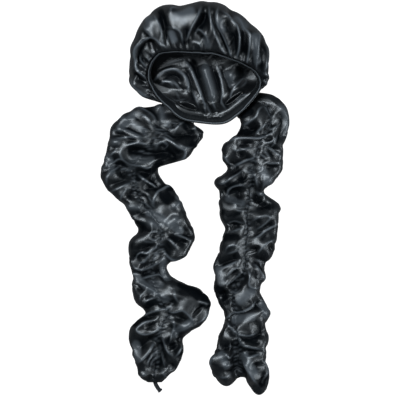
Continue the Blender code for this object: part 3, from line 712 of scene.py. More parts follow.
# From the mouth to the hem: across, along, reach, turn, lean, height, belly, seam, pinch, drop
leftRows = (
    (-0.089, 0.2140, 0.41, -30, 8, 0.37, 0.42, 0.10, 0.10, 0.0),
    (-0.134, 0.2010, 0.77, -18, 4, 0.60, 0.36, 0.25, 0.30, 0.0),
    (-0.196, 0.1740, 0.97, -11, 0, 0.80, 0.34, 0.12, 0.42, 0.0),
    (-0.235, 0.1360, 0.94, -5, 0, 0.86, 0.34, -0.02, 0.45, 0.0),
    (-0.265, 0.1080, 0.86, -2, 0, 0.82, 0.34, -0.10, 0.42, 0.0),
    (-0.344, 0.0790, 0.63, 0, 0, 0.74, 0.34, 0.05, 0.46, 0.0),
    (-0.330, 0.0440, 0.66, 0, 0, 0.80, 0.34, 0.02, 0.42, 0.0),
    (-0.273, 0.0130, 0.70, 0, 0, 0.84, 0.34, -0.20, 0.44, 0.0),
    (-0.219, -0.0180, 0.63, 0, 0, 0.76, 0.34, -0.32, 0.46, 0.0),
    (-0.187, -0.0490, 0.61, 0, 0, 0.78, 0.34, -0.22, 0.42, 0.0),
    (-0.157, -0.0790, 0.61, 0, 0, 0.86, 0.34, -0.18, 0.40, 0.0),
    (-0.176, -0.1100, 0.70, 0, 0, 0.90, 0.34, -0.05, 0.44, 0.0),
    (-0.201, -0.1400, 0.62, 0, 0, 0.84, 0.34, -0.02, 0.46, 0.0),
    (-0.246, -0.1700, 0.41, 0, 0, 0.66, 0.34, 0.15, 0.42, 0.0),
    (-0.220, -0.2040, 0.46, 0, 0, 0.70, 0.34, -0.05, 0.46, 0.0),
    (-0.154, -0.2330, 0.74, 0, 0, 0.84, 0.34, -0.30, 0.42, 0.0),
    (-0.116, -0.2640, 0.81, 0, 0, 0.90, 0.34, -0.30, 0.44, 0.0),
    (-0.098, -0.2930, 0.68, 0, 0, 0.82, 0.34, -0.25, 0.46, 0.0),
    (-0.152, -0.3250, 0.74, 0, 0, 0.84, 0.34, -0.12, 0.42, 0.0),
    (-0.203, -0.3560, 0.60, 0, 0, 0.78, 0.34, 0.04, 0.44, 0.0),
    (-0.200, -0.3920, 0.56, 0, 0, 0.70, 0.34, -0.04, 0.42, 0.0),
    (-0.203, -0.4330, 0.44, 0, 0, 0.58, 0.36, -0.08, 0.32, 0.0),
    (-0.218, -0.4590, 0.27, 0, 0, 0.40, 0.42, 0.00, 0.16, 0.0),
    (-0.214, -0.4720, 0.15, 0, 0, 0.27, 0.48, 0.00, 0.00, 0.0),
)
rightRows = (
    (0.279, 0.2410, 0.37, 44, 8, 0.37, 0.42, 0.10, 0.10, 0.0),
    (0.338, 0.2330, 0.48, 27, 4, 0.60, 0.36, 0.30, 0.30, 0.0),
    (0.373, 0.2030, 0.52, 14, 0, 0.76, 0.34, 0.28, 0.40, 0.0),
    (0.360, 0.1670, 0.56, 4, 0, 0.82, 0.34, 0.10, 0.44, 0.0),
    (0.316, 0.1360, 0.66, 0, 0, 0.88, 0.34, 0.16, 0.42, 0.0),
    (0.311, 0.1050, 0.66, 0, 0, 0.84, 0.34, 0.10, 0.46, 0.0),
    (0.322, 0.0740, 0.60, 0, 0, 0.78, 0.34, -0.10, 0.42, 0.0),
    (0.266, 0.0440, 0.64, 0, 0, 0.80, 0.34, 0.28, 0.44, 0.0),
    (0.252, 0.0150, 0.49, 0, 0, 0.66, 0.34, 0.35, 0.40, 0.0),
    (0.292, -0.0160, 0.66, 0, 0, 0.78, 0.34, 0.00, 0.44, 0.0),
    (0.295, -0.0490, 0.64, 0, 0, 0.86, 0.34, -0.10, 0.46, 0.0),
    (0.303, -0.0790, 0.58, 0, 0, 0.80, 0.34, -0.13, 0.42, 0.0),
    (0.289, -0.1100, 0.60, 0, 0, 0.84, 0.34, -0.07, 0.46, 0.0),
    (0.273, -0.1410, 0.60, 0, 0, 0.82, 0.34, 0.00, 0.42, 0.0),
    (0.241, -0.1720, 0.57, 0, 0, 0.78, 0.34, 0.22, 0.46, 0.0),
    (0.241, -0.2020, 0.55, 0, 0, 0.76, 0.34, 0.08, 0.42, 0.0),
    (0.227, -0.2360, 0.50, 0, 0, 0.70, 0.34, -0.15, 0.44, 0.0),
    (0.252, -0.2670, 0.51, 0, 0, 0.70, 0.34, -0.40, 0.38, 0.0),
    (0.281, -0.2950, 0.50, 0, 0, 0.74, 0.34, -0.50, 0.36, 0.0),
    (0.268, -0.3250, 0.46, 0, 0, 0.70, 0.34, -0.45, 0.38, 0.0),
    (0.262, -0.3560, 0.55, 0, 0, 0.76, 0.34, -0.24, 0.44, 0.0),
    (0.249, -0.3870, 0.56, 0, 0, 0.76, 0.34, -0.14, 0.42, 0.0),
    (0.235, -0.4180, 0.60, 0, 0, 0.70, 0.34, 0.00, 0.46, 0.2),
    (0.243, -0.4460, 0.62, 0, 0, 0.52, 0.36, -0.05, 0.42, 0.6),
    (0.246, -0.4600, 0.58, 0, 0, 0.26, 0.40, -0.07, 0.30, 1.0),
)

# The sleeves' folds with their painted highlight and painted shade, in the same columns as the crown's: main
# creases, then smaller folds
leftCreasesAndPaintedShade = (
    (-9, 4.2, (106, 166), (118, 165), (130, 169), (137, 176)),
    (-11, 4.4, (160, 163), (151, 171), (138, 178)),
    (-8, 3.6, (167, 184), (154, 187), (141, 190)),
    (-10, 4.4, (137, 224), (148, 228), (162, 232)),
    (-7, 4.0, (196, 236), (182, 234), (166, 233)),
    (-10, 4.0, (172, 261), (163, 253), (158, 243)),
    (-8, 3.8, (130, 264), (143, 252), (157, 243)),
    (-9, 4.2, (173, 281), (160, 273), (138, 274)),
    (-10, 4.4, (150, 303), (162, 302), (172, 303)),
    (-8, 3.6, (186, 337), (177, 334), (169, 322)),
    (-7, 4.0, (133, 352), (146, 344), (158, 334)),
    (-8, 3.6, (160, 336), (159, 356), (156, 376)),
    (-7, 4.0, (122, 122), (138, 126), (152, 136)),
    (-7, 4.0, (163, 105), (162, 120), (158, 134)),
    (-7, 3.6, (200, 134), (182, 134), (164, 136)),
    (-7, 3.6, (177, 163), (168, 152), (160, 141)),
)
leftFoldsAndPaintedLight = (
    (7, 1.3, (154, 128), (147, 119), (138, 112)),
    (-7, 1.8, (152, 130), (143, 122), (132, 114)),
    (7, 1.3, (151, 132), (139, 126), (125, 122)),
    (-7, 1.8, (147, 135), (133, 131), (118, 130)),
    (6, 1.3, (144, 138), (130, 137), (114, 139)),
    (4.5, 4.4, (121, 128), (134, 115)),
    (4, 4.4, (109, 156), (112, 172)),
    (5.5, 5.0, (150, 213), (166, 222), (180, 230)),
    (4, 4.4, (178, 198), (184, 208)),
    (4.5, 4.4, (136, 276), (150, 289), (166, 299)),
    (4.5, 5.0, (163, 262), (168, 276)),
    (5, 4.6, (176, 332), (190, 322)),
    (4, 4.4, (136, 344), (138, 358)),
    (-9, 6.0, (132, 150), (158, 156), (172, 158)),
    (-8, 5.0, (158, 190), (172, 188)),
    (-7, 4.6, (170, 239), (184, 240)),
    (-9, 6.0, (182, 284), (198, 296), (204, 304)),
    (-7, 4.6, (136, 324), (148, 314)),
    (-8, 4.6, (170, 340), (178, 352)),
    (-7, 3.2, (118, 125), (128, 127), (137, 131), (146, 136)),
    (4, 2.6, (117, 119), (129, 121), (140, 128), (149, 137)),
    (5, 2.2, (128, 111), (141, 109), (152, 115), (158, 126)),
    (-7, 5.0, (133, 121), (142, 123), (149, 131)),
    (-5, 2.4, (139, 107), (150, 110), (158, 118), (161, 127)),
    (5, 3.0, (152, 104), (160, 108), (163, 118), (163, 128)),
    (5, 2.4, (112, 131), (124, 130), (135, 134), (146, 140)),
    (-6, 2.8, (111, 136), (122, 135), (131, 140), (141, 143)),
    (5, 2.8, (110, 145), (117, 142), (124, 142)),
    (-4, 2.0, (109, 150), (118, 148), (122, 152)),
    (5, 2.0, (107, 157), (114, 153), (119, 146)),
    (-4, 1.8, (105, 162), (115, 159), (121, 155)),
    (6, 1.8, (102, 169), (111, 164), (120, 159), (127, 163), (134, 171)),
    (-5, 2.2, (104, 176), (110, 169), (118, 166), (125, 168), (131, 173)),
    (6, 2.4, (107, 185), (110, 174), (117, 168), (121, 166)),
    (-8, 3.4, (118, 176), (125, 173), (131, 175)),
    (4, 1.2, (120, 170), (126, 169), (131, 172)),
    (6, 1.8, (124, 146), (136, 143), (145, 144), (152, 148)),
    (-8, 3.6, (126, 152), (138, 152), (150, 153), (163, 153), (174, 155)),
    (6, 1.6, (124, 147), (121, 152), (123, 159), (131, 165), (140, 166), (148, 168), (153, 163)),
    (3, 5.0, (133, 160), (141, 161), (150, 160)),
    (-7, 2.0, (128, 171), (140, 171), (150, 173), (156, 171)),
    (6, 1.3, (155, 149), (158, 144), (163, 142), (167, 145), (164, 149)),
    (-6, 1.3, (157, 147), (161, 145), (164, 146)),
    (7, 1.6, (160, 136), (170, 141), (178, 147), (184, 150), (183, 156), (177, 162)),
    (-5, 2.2, (170, 147), (178, 153), (176, 160)),
    (5, 1.3, (164, 131), (168, 124), (174, 121)),
    (5, 1.3, (172, 133), (178, 126), (185, 121)),
    (-5, 1.4, (168, 130), (172, 125), (176, 123)),
    (4, 1.2, (193, 123), (195, 127), (196, 131)),
    (-4, 4.5, (178, 138), (188, 134), (196, 131)),
    (-6, 5.0, (186, 125), (195, 137), (192, 146)),
    (5, 1.8, (176, 143), (184, 147), (191, 147)),
    (4, 1.2, (152, 122), (155, 128), (159, 134)),
    (4, 1.2, (160, 124), (159, 130), (163, 136)),
    (4, 1.1, (162, 135), (168, 136), (175, 141)),
    (-4, 1.1, (164, 138), (170, 140), (174, 144)),
    (-5, 1.4, (155, 131), (159, 138), (158, 142)),
    (4, 1.2, (133, 134), (139, 138), (144, 144)),
    (4, 1.2, (142, 132), (147, 137), (150, 143)),
    (-4, 1.2, (137, 134), (142, 139), (147, 144)),
    (6, 1.8, (137, 174), (145, 180), (153, 184), (160, 187)),
    (-8, 3.4, (146, 175), (154, 180), (163, 184)),
    (4, 1.1, (132, 178), (137, 183), (136, 188)),
    (-4, 1.2, (128, 183), (133, 186), (134, 191)),
    (5, 1.8, (110, 192), (122, 187), (133, 182)),
    (-5, 1.8, (108, 187), (120, 182), (131, 179)),
    (5, 2.0, (121, 203), (123, 194), (131, 186)),
    (-7, 3.4, (129, 201), (131, 195), (136, 190)),
    (4, 2.6, (122, 205), (134, 207), (147, 208)),
    (-5, 1.3, (138, 194), (146, 197), (152, 205)),
    (5, 1.2, (139, 201), (147, 204), (154, 211)),
    (5, 1.2, (147, 192), (151, 200), (156, 210)),
    (-8, 7.0, (164, 196), (168, 200)),
    (6, 2.4, (154, 209), (154, 199), (159, 191), (170, 188), (180, 194)),
    (5, 2.6, (168, 210), (176, 205), (182, 199)),
    (-5, 2.6, (131, 214), (140, 213), (150, 211)),
    (5, 1.3, (151, 209), (159, 213), (168, 219)),
    (4, 4.0, (144, 220), (155, 225), (165, 228)),
    (-3, 1.2, (149, 216), (156, 221), (163, 226)),
    (4, 4.0, (170, 214), (176, 222), (180, 228)),
    (-5, 3.0, (176, 226), (186, 229), (193, 231)),
    (6, 1.6, (171, 232), (182, 236), (193, 241)),
    (-7, 3.2, (176, 240), (185, 243), (190, 246)),
    (6, 1.5, (165, 237), (172, 242), (178, 250)),
    (-5, 1.6, (163, 240), (168, 246), (173, 253)),
    (7, 1.8, (160, 245), (163, 253), (170, 258), (181, 256), (191, 249)),
    (5, 1.4, (149, 236), (152, 232), (159, 232)),
    (5, 1.3, (148, 237), (154, 240), (160, 238)),
    (-6, 1.5, (151, 236), (157, 236)),
    (-5, 3.0, (133, 233), (142, 229), (153, 228)),
    (3, 1.6, (140, 240), (150, 242), (158, 241)),
    (-5, 5.0, (134, 246), (144, 247)),
    (7, 1.6, (160, 240), (155, 248), (148, 253), (139, 254), (133, 262)),
    (6, 1.5, (132, 264), (138, 269), (147, 269), (156, 264), (163, 261)),
    (5, 1.2, (154, 252), (148, 257), (144, 262), (136, 263)),
    (-7, 2.2, (138, 260), (143, 257), (148, 254)),
    (-6, 1.6, (137, 266), (144, 266), (150, 262)),
    (6, 1.2, (158, 251), (155, 258), (153, 264)),
    (-6, 1.6, (151, 262), (154, 255), (156, 251)),
    (-6, 1.6, (158, 262), (160, 256), (160, 250)),
    (-5, 2.6, (132, 272), (145, 273), (158, 271), (168, 268)),
    (6, 1.5, (139, 279), (150, 276), (161, 274), (168, 279), (174, 279)),
    (3, 5.0, (152, 283), (160, 285)),
    (6, 1.8, (137, 282), (149, 289), (160, 295), (172, 299)),
    (-7, 2.0, (136, 290), (141, 288), (147, 290)),
    (5, 1.2, (148, 290), (142, 295), (140, 302)),
    (-6, 1.8, (144, 299), (150, 294), (157, 294)),
    (5, 1.2, (143, 303), (150, 299), (158, 297)),
    (5, 1.4, (174, 288), (175, 296), (178, 303)),
    (-6, 6.0, (182, 292), (192, 293)),
    (-6, 2.2, (160, 300), (170, 303), (180, 305)),
    (4, 1.6, (196, 301), (203, 303), (209, 304)),
    (6, 1.6, (141, 317), (151, 312), (161, 309), (168, 308), (173, 302)),
    (-5, 1.8, (140, 311), (150, 307), (158, 303)),
    (7, 1.6, (166, 311), (175, 312), (182, 310), (188, 315), (195, 324)),
    (6, 1.6, (195, 324), (203, 317), (209, 307)),
    (-5, 4.0, (196, 308), (200, 312)),
    (-8, 2.8, (172, 316), (181, 318), (191, 323)),
    (6, 1.5, (168, 317), (174, 323), (172, 334), (170, 342)),
    (4, 4.5, (180, 328), (176, 335)),
    (-6, 2.6, (176, 343), (181, 340), (186, 336)),
    (-6, 2.0, (142, 320), (150, 316), (160, 314)),
    (7, 1.4, (155, 319), (145, 323), (138, 329), (141, 333), (148, 334), (156, 330), (164, 322)),
    (-6, 2.4, (144, 328), (151, 326), (157, 322)),
    (4, 1.1, (156, 331), (160, 328), (166, 328)),
    (4, 1.1, (156, 334), (160, 333), (161, 328)),
    (-4, 5.5, (141, 342), (147, 346)),
    (6, 1.8, (156, 341), (150, 350), (144, 358), (136, 364)),
    (-5, 1.8, (154, 351), (149, 357), (143, 364)),
    (5, 1.3, (161, 348), (153, 355), (149, 361), (148, 369)),
    (5, 1.1, (158, 355), (153, 362), (151, 370)),
    (-5, 1.3, (156, 354), (151, 361), (149, 371)),
    (-5, 1.3, (159, 358), (156, 364), (155, 372)),
    (5, 1.2, (160, 351), (162, 360), (165, 369)),
    (-5, 1.3, (162, 350), (165, 358), (169, 367)),
    (6, 1.5, (162, 334), (164, 345), (168, 352), (174, 357)),
    (5, 1.6, (174, 358), (179, 350), (183, 343)),
    (-7, 2.6, (170, 344), (174, 349)),
    (-5, 1.4, (166, 336), (167, 344), (170, 350)),
    (-5, 2.0, (168, 362), (172, 366), (176, 370)),
    (4, 2.6, (145, 371), (144, 378)),
    (-4, 1.2, (149, 371), (149, 378), (148, 383)),
    (-4, 1.0, (157, 372), (157, 378)),
    (4, 1.2, (160, 369), (164, 375), (167, 379)),
)
rightCreasesAndPaintedShade = (
    (-10, 4.2, (240, 127), (251, 129), (262, 127)),
    (-9, 4.0, (282, 151), (272, 150), (262, 147)),
    (-9, 4.0, (226, 170), (243, 163), (256, 157)),
    (-9, 4.0, (220, 198), (234, 192), (248, 194)),
    (-10, 4.2, (264, 193), (257, 195), (250, 196)),
    (-9, 4.0, (224, 227), (236, 226), (246, 226)),
    (-7, 4.0, (278, 224), (264, 231), (250, 236)),
    (-9, 4.0, (270, 262), (258, 262), (248, 263)),
    (-8, 4.0, (211, 268), (228, 262), (242, 258)),
    (-8, 4.0, (228, 292), (236, 284), (244, 272)),
    (-10, 3.8, (266, 299), (246, 310), (224, 321)),
    (-9, 3.8, (268, 327), (256, 336), (238, 338)),
    (-8, 3.4, (265, 352), (252, 352), (239, 352)),
    (-10, 3.8, (238, 380), (237, 360), (237, 338)),
    (-7, 3.8, (214, 352), (225, 348), (236, 346)),
)
rightFoldsAndPaintedLight = (
    (5.5, 5.0, (262, 170), (268, 182)),
    (4, 4.4, (228, 198), (242, 203)),
    (4.5, 4.6, (218, 268), (222, 282)),
    (5.5, 5.5, (240, 300), (251, 292)),
    (5, 5.0, (236, 320), (252, 317)),
    (4.5, 4.6, (264, 304), (266, 316)),
    (4.5, 4.4, (221, 354), (227, 366)),
    (5.5, 4.8, (244, 356), (254, 372)),
    (-8, 5.0, (240, 132), (250, 130)),
    (-9, 4.8, (228, 190), (244, 179)),
    (-7, 4.6, (260, 202), (270, 207)),
    (-7, 4.6, (228, 214), (238, 212)),
    (-7, 4.6, (226, 237), (237, 237)),
    (-8, 4.8, (220, 288), (226, 302)),
    (-7, 4.6, (242, 338), (256, 340)),
    (-7, 4.6, (264, 374), (262, 384)),
    (-8, 5.0, (244, 115), (250, 112)),
    (6, 1.5, (241, 126), (250, 121), (256, 117), (259, 110), (264, 106)),
    (4, 1.4, (262, 104), (267, 111), (271, 118)),
    (-4, 1.3, (264, 103), (269, 110), (273, 117)),
    (-6, 2.2, (278, 111), (282, 121), (281, 132), (277, 142), (271, 148)),
    (4, 1.8, (277, 134), (275, 142), (270, 149)),
    (4, 2.6, (275, 103), (283, 112), (286, 124), (284, 136)),
    (-5, 5.0, (252, 124), (246, 131)),
    (6, 1.4, (255, 137), (259, 130), (264, 125), (271, 123)),
    (5, 1.2, (266, 129), (273, 129), (279, 124)),
    (5, 1.2, (262, 138), (270, 134), (277, 130)),
    (-5, 1.3, (263, 128), (268, 126), (275, 126)),
    (-5, 1.4, (262, 135), (269, 132), (276, 132)),
    (5, 1.3, (262, 140), (268, 143), (275, 139), (279, 133)),
    (-6, 1.8, (263, 137), (269, 139), (274, 136)),
    (7, 1.6, (228, 143), (236, 140), (248, 138), (259, 138), (268, 135)),
    (-7, 2.6, (236, 145), (246, 144), (255, 144)),
    (5, 1.4, (231, 145), (236, 150), (246, 149), (254, 147)),
    (5, 1.8, (222, 154), (227, 158), (230, 167)),
    (-5, 4.0, (236, 156), (246, 155)),
    (7, 1.6, (230, 168), (240, 164), (250, 160), (258, 154)),
    (4, 1.1, (257, 152), (263, 156), (268, 160)),
    (4, 1.1, (261, 149), (266, 153), (270, 159)),
    (-5, 1.2, (258, 155), (263, 159), (267, 163)),
    (-5, 1.2, (260, 152), (265, 156), (269, 160)),
    (6, 1.6, (261, 145), (270, 149), (277, 154), (282, 160)),
    (-6, 1.8, (266, 151), (272, 155), (279, 158)),
    (5, 1.5, (260, 160), (268, 163), (277, 163), (283, 162)),
    (-6, 2.4, (262, 166), (271, 167), (281, 167)),
    (-7, 1.8, (228, 176), (237, 171), (246, 166), (252, 163)),
    (6, 1.3, (217, 183), (224, 183), (233, 177), (243, 170)),
    (5, 1.4, (243, 170), (250, 173), (253, 179)),
    (-6, 4.2, (240, 177), (247, 178)),
    (-4, 4.0, (224, 188), (232, 184)),
    (6, 1.8, (251, 168), (256, 178), (258, 190)),
    (-7, 1.6, (251, 176), (252, 185), (250, 194)),
    (3, 3.0, (266, 173), (270, 180), (266, 187)),
    (-4, 1.4, (260, 172), (261, 181), (260, 190)),
    (4, 1.4, (263, 172), (264, 182), (262, 191)),
    (7, 2.2, (224, 197), (230, 189), (239, 185), (248, 187)),
    (-8, 4.2, (236, 195), (243, 195)),
    (5, 1.3, (229, 200), (236, 204), (245, 203)),
    (4, 2.4, (252, 192), (260, 193), (270, 198)),
    (-4, 2.6, (252, 199), (258, 199), (264, 202)),
    (4, 1.1, (231, 204), (238, 208), (247, 207)),
    (4, 1.1, (234, 209), (240, 211), (248, 211)),
    (5, 1.2, (225, 225), (234, 222), (246, 224)),
    (5, 1.2, (228, 232), (237, 230), (247, 228)),
    (-5, 1.6, (252, 268), (256, 274), (257, 281)),
    (-6, 4.6, (224, 212), (234, 214)),
    (-6, 5.2, (226, 238), (235, 238)),
    (-7, 2.8, (254, 210), (262, 206), (272, 203)),
    (5, 1.4, (251, 222), (257, 218), (266, 216), (269, 219), (262, 226), (254, 230)),
    (-4, 2.4, (255, 224), (261, 222)),
    (-6, 2.0, (258, 230), (267, 226), (276, 220)),
    (7, 1.6, (251, 240), (258, 236), (265, 231), (273, 227), (279, 222)),
    (-6, 1.8, (258, 242), (264, 237), (270, 232)),
    (6, 1.5, (257, 255), (262, 247), (268, 242), (276, 239)),
    (-7, 2.6, (253, 246), (256, 253)),
    (-4, 3.4, (268, 249), (274, 247)),
    (6, 1.4, (225, 252), (228, 247), (234, 245), (241, 248)),
    (5, 1.3, (226, 254), (233, 252), (241, 249)),
    (-7, 3.2, (231, 256), (236, 258)),
    (7, 1.6, (212, 269), (222, 268), (232, 264), (241, 260)),
    (6, 1.4, (225, 279), (232, 271), (241, 265)),
    (6, 1.5, (224, 280), (226, 284), (233, 282), (239, 276), (243, 269)),
    (-7, 2.0, (229, 279), (235, 273), (240, 268)),
    (-4, 2.4, (220, 276), (226, 270), (233, 267)),
    (6, 1.4, (251, 264), (258, 268), (263, 277), (262, 286)),
    (6, 1.4, (247, 268), (250, 276), (249, 285), (255, 288), (262, 286)),
    (5, 1.3, (253, 260), (260, 262), (265, 268)),
    (-6, 1.8, (254, 264), (261, 268), (266, 275)),
    (-8, 3.6, (222, 290), (227, 300)),
    (5, 1.3, (231, 290), (236, 293), (241, 289)),
    (3, 6.0, (248, 293), (243, 300)),
    (-5, 5.0, (231, 300), (240, 298)),
    (8, 1.5, (222, 320), (232, 314), (243, 311), (252, 306), (259, 299)),
    (-8, 1.6, (226, 322), (236, 316), (246, 312), (256, 305)),
    (-3, 6.0, (243, 322), (252, 320)),
    (6, 1.6, (225, 321), (232, 329), (241, 335), (251, 335), (259, 331)),
    (5, 1.4, (258, 301), (263, 311), (264, 321)),
    (-5, 1.6, (261, 308), (264, 317), (266, 323)),
    (-6, 2.0, (227, 326), (233, 332), (239, 338)),
    (-7, 3.4, (246, 342), (256, 342), (264, 345)),
    (7, 1.4, (238, 334), (241, 344), (249, 347), (264, 350)),
    (-6, 1.2, (240, 350), (251, 349), (263, 352)),
    (6, 1.6, (239, 356), (250, 357), (263, 353)),
    (-7, 3.0, (222, 343), (225, 350)),
    (-6, 2.0, (231, 341), (235, 349)),
    (5, 1.3, (228, 346), (234, 347)),
    (6, 1.5, (218, 353), (225, 354), (230, 358), (236, 354)),
    (-6, 1.8, (219, 362), (227, 361), (237, 364)),
    (5, 1.3, (220, 366), (229, 366), (238, 366)),
    (-6, 2.2, (223, 371), (231, 372), (239, 369)),
    (5, 2.0, (218, 353), (213, 361), (212, 370)),
    (4, 1.4, (217, 376), (225, 377), (234, 374)),
    (7, 2.4, (240, 358), (246, 366), (253, 376), (258, 386)),
    (-6, 1.8, (238, 362), (243, 371), (249, 380)),
    (-5, 3.2, (255, 361), (258, 372)),
    (5, 2.2, (263, 358), (266, 370), (262, 382)),
)


leftSleeve = {"name": "leftSleeve", "node": "left_sleeve", "slot": "left_sleeve_satin", "seed": 21,
              "cutSize": (0.19, 0.82), "rows": leftRows, "mouth": leftMouth, "hole": leftHole,
              "foldsAndPaintedLight": leftCreasesAndPaintedShade + leftFoldsAndPaintedLight}
rightSleeve = {"name": "rightSleeve", "node": "right_sleeve", "slot": "right_sleeve_satin", "seed": 31,
               "cutSize": (0.18, 0.79), "rows": rightRows, "mouth": rightMouth, "hole": rightHole,
               "foldsAndPaintedLight": rightCreasesAndPaintedShade + rightFoldsAndPaintedLight}


def sleeveControl(rows, mouth, hole, place, start):
    # rings of places at each table row, after the two rings of the sewn mouth
    values = sleeveValues
    centre, side, slope, out = place
    upper, lower = values["upperSides"], values["lowerSides"]
    angle = np.concatenate([np.pi * np.arange(upper) / upper, np.pi + np.pi * np.arange(lower) / lower])
    rings = []
    for push, flare in ((-values["mouthSlide"], values["mouthFlare"]), (values["mouthSlide"], 1.0)):
        rings.append(centre + np.outer(np.cos(angle) * hole[0] * flare, side)
                     + np.outer(np.sin(angle) * hole[1] * flare, slope) + out * push)
    cosine, sine = np.cos(angle), np.sin(angle)
    over = np.sign(cosine) * np.abs(cosine) ** values["wide"]
    lift = np.sign(sine) * np.abs(sine) ** values["flat"]
    seams = [0.0, 0.0]
    for across, along, reach, turn, lean, height, belly, seam, pinch, drop in rows:
        turnAngle, tip = math.radians(turn), math.radians(lean)
        way = np.array((math.cos(turnAngle), math.sin(turnAngle), 0.0))
        back = np.array((-way[1], way[0], 0.0))
        rise = back * math.sin(tip) + np.array((0, 0, math.cos(tip)))
        middle = np.array((start[0] + (across - mouth[2]) * values["spread"],
                           start[1] + (along - mouth[3]) * values["run"], 0.0))
        level = np.where(lift > 0, belly + (1 - belly) * lift, belly * (1 + lift))
        pinched = pinch * values["pinchGain"] * np.exp(-((over - seam) / values["pinchWide"]) ** 2) * lift
        level = level * np.where(lift > 0, 1 - pinched, 1.0)
        # the hem hangs in two lobes, one each side of the seam
        fromSeam = np.abs(over - seam) / np.where(over > seam, 1 - seam, 1 + seam)
        lobeAt = np.where(over > seam, values["lobeAt"][1], values["lobeAt"][0])
        lobe = np.maximum(0.0, 1 - ((fromSeam - lobeAt) / values["lobeHalf"]) ** 2)
        hang = values["hemDrop"] * drop * lobe * np.where(over > seam, 1.0, values["shortSide"])
        ring = middle + np.outer(over * reach * values["reach"], way) \
            + np.outer(level * height * values["height"], rise) - np.outer(hang, back)
        rings.append(ring)
        seams.append(seam)
    return np.array(rings), np.array(seams), over, lift


def sleevePlaces(chosen, place, start):
    values, seed = sleeveValues, chosen["seed"]
    control, seams, over, lift = sleeveControl(chosen["rows"], chosen["mouth"], chosen["hole"], place, start)
    fine = splineRows(control, values["courseSteps"])
    middleLine = fine.mean(axis=1)
    steps = np.concatenate([[0.0], np.cumsum(np.linalg.norm(np.diff(middleLine, axis=0), axis=1))])
    count = values["rings"]
    shares = np.interp(np.linspace(0, steps[-1], count), steps, np.linspace(0, 1, values["courseSteps"]))
    points = splineRows(control, count, at=shares)
    seamAt = splineRows(seams.reshape(-1, 1), count, at=shares)[:, 0]
    run = np.linspace(0, steps[-1], count)
    normal = gridNormals(points)
    middle = points.mean(axis=1, keepdims=True)
    if np.sum(normal * (points - middle)) < 0:
        normal = -normal
    s = run[:, None]
    across, rise = over[None, :], lift[None, :]
    top, low = np.maximum(0.0, rise), np.maximum(0.0, -rise)
    seam = seamAt[:, None]
    away = np.where(rise > 0, np.abs(across - seam), 2.0 - np.abs(across))
    hand = np.where(across > seam, 1.0, -1.0)
    warp = 0.4 * wobble(s * 90, hand * 3 + away * 2.0, seed) \
        + 0.2 * wobble(s * 260, hand * 5 + away * 4, seed + 1)
    phase = s / values["puckerPitch"] + hand * 0.25
    puckers = puffWave(phase + warp * 0.6)
    second = puffWave(phase / 2 + warp)
    fold = puffWave(s / values["foldPitch"] + warp * 0.9 + hand * 0.3 + away * 0.35)
    a, b = ease((away - 0.03) / 0.11), ease((away - 0.10) / 0.35)
    wave = second * a * (1 - b) * values["puckerDepth"] * 0.1 \
        + (fold - 0.5) * b * values["foldDepth"] * (0.1 + 0.9 * (1 - top))
    ladder = puckers * (1 - a) * values["puckerDepth"] - values["seamDepth"] * np.exp(-(away / 0.07) ** 2)
    begin = ease((s - 0.030) / 0.035)
    end = ease((run[-1] - s) / 0.010)
    laid, paintedHighlightMask, paintedShadeMask = (
        grid.reshape(points.shape[:2])
        for grid in layFoldsAndPaint(points.reshape(-1, 3), chosen["foldsAndPaintedLight"], values["foldGain"]))
    seen = ease(normal[:, :, 2] * 1.5 + 0.30)
    push = (wave * (1 - 0.8 * top) + ladder * top) * begin * end * (1 - 0.85 * low) \
        + laid * seen * ease((s - 0.012) / 0.02)
    moved = laidOn(points + normal * push[:, :, None])
    beside = 1 - np.exp(-(away / 0.03) ** 2)
    # painted highlight on the seam's puckers and painted shade along the seam
    rungPaintedHighlight = puckers ** 6 * (1 - a) * values["rungHighlightPaint"] * top * begin * end * beside
    seamPaintedShade = np.exp(-(away / 0.085) ** 2) * top * begin * end
    marks = {"paintedHighlight": np.maximum(paintedHighlightMask * seen, rungPaintedHighlight), "paintedShade": np.maximum(paintedShadeMask * seen, seamPaintedShade) * (1 - paintedHighlightMask)}
    return moved, seamAt, over, lift, run, marks


def buildSleeve(chosen, place, start, finish):
    # place is the hole's frame in the crown, and start is where the sleeve's course begins
    values = sleeveValues
    moved, seamAt, over, lift, run, marks = sleevePlaces(chosen, place, start)
    away = np.abs(over[None, :] - seamAt[:, None])
    held = np.where(lift[None, :] > 0, 0.08 + 0.85 * np.exp(-(away / 0.05) ** 2), 0.25)
    held = np.maximum(held, 0.45 * np.exp(-(lift[None, :] / 0.25) ** 2))
    held = np.maximum(held, 1 - ease((run[:, None] - 0.045) / 0.02))
    held = np.maximum(held, 1 - ease((run[-1] - run[:, None]) / 0.006))
    moved = laidOn(moved + gatherCloth(moved, held, values))
    sleeve = rolledCloth(chosen["name"], moved, marks)
    softSmooth(sleeve, 2)
    thicken(sleeve, layout["clothWall"])
    sleeve.data.materials.append(finish)
    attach(sleeve, "root")
    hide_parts(chosen["node"])
    print(chosen["name"], "made:", len(sleeve.data.polygons), "faces")


cordValues = {"thick": 0.0080, "body": 0.86, "tipExtra": 0.34, "around": 28, "along": 90, "plaits": 7.0,
              "plaitDepth": 0.00035, "lowest": 0.0002}

# metres east, north and up from the left sleeve's end
cordLine = ((0.0004, 0.0087, 0.0042), (0.0005, 0.0022, 0.0042), (0.0021, -0.0043, 0.0037),
            (0.0065, -0.0115, 0.0029), (0.0113, -0.0169, 0.0026))


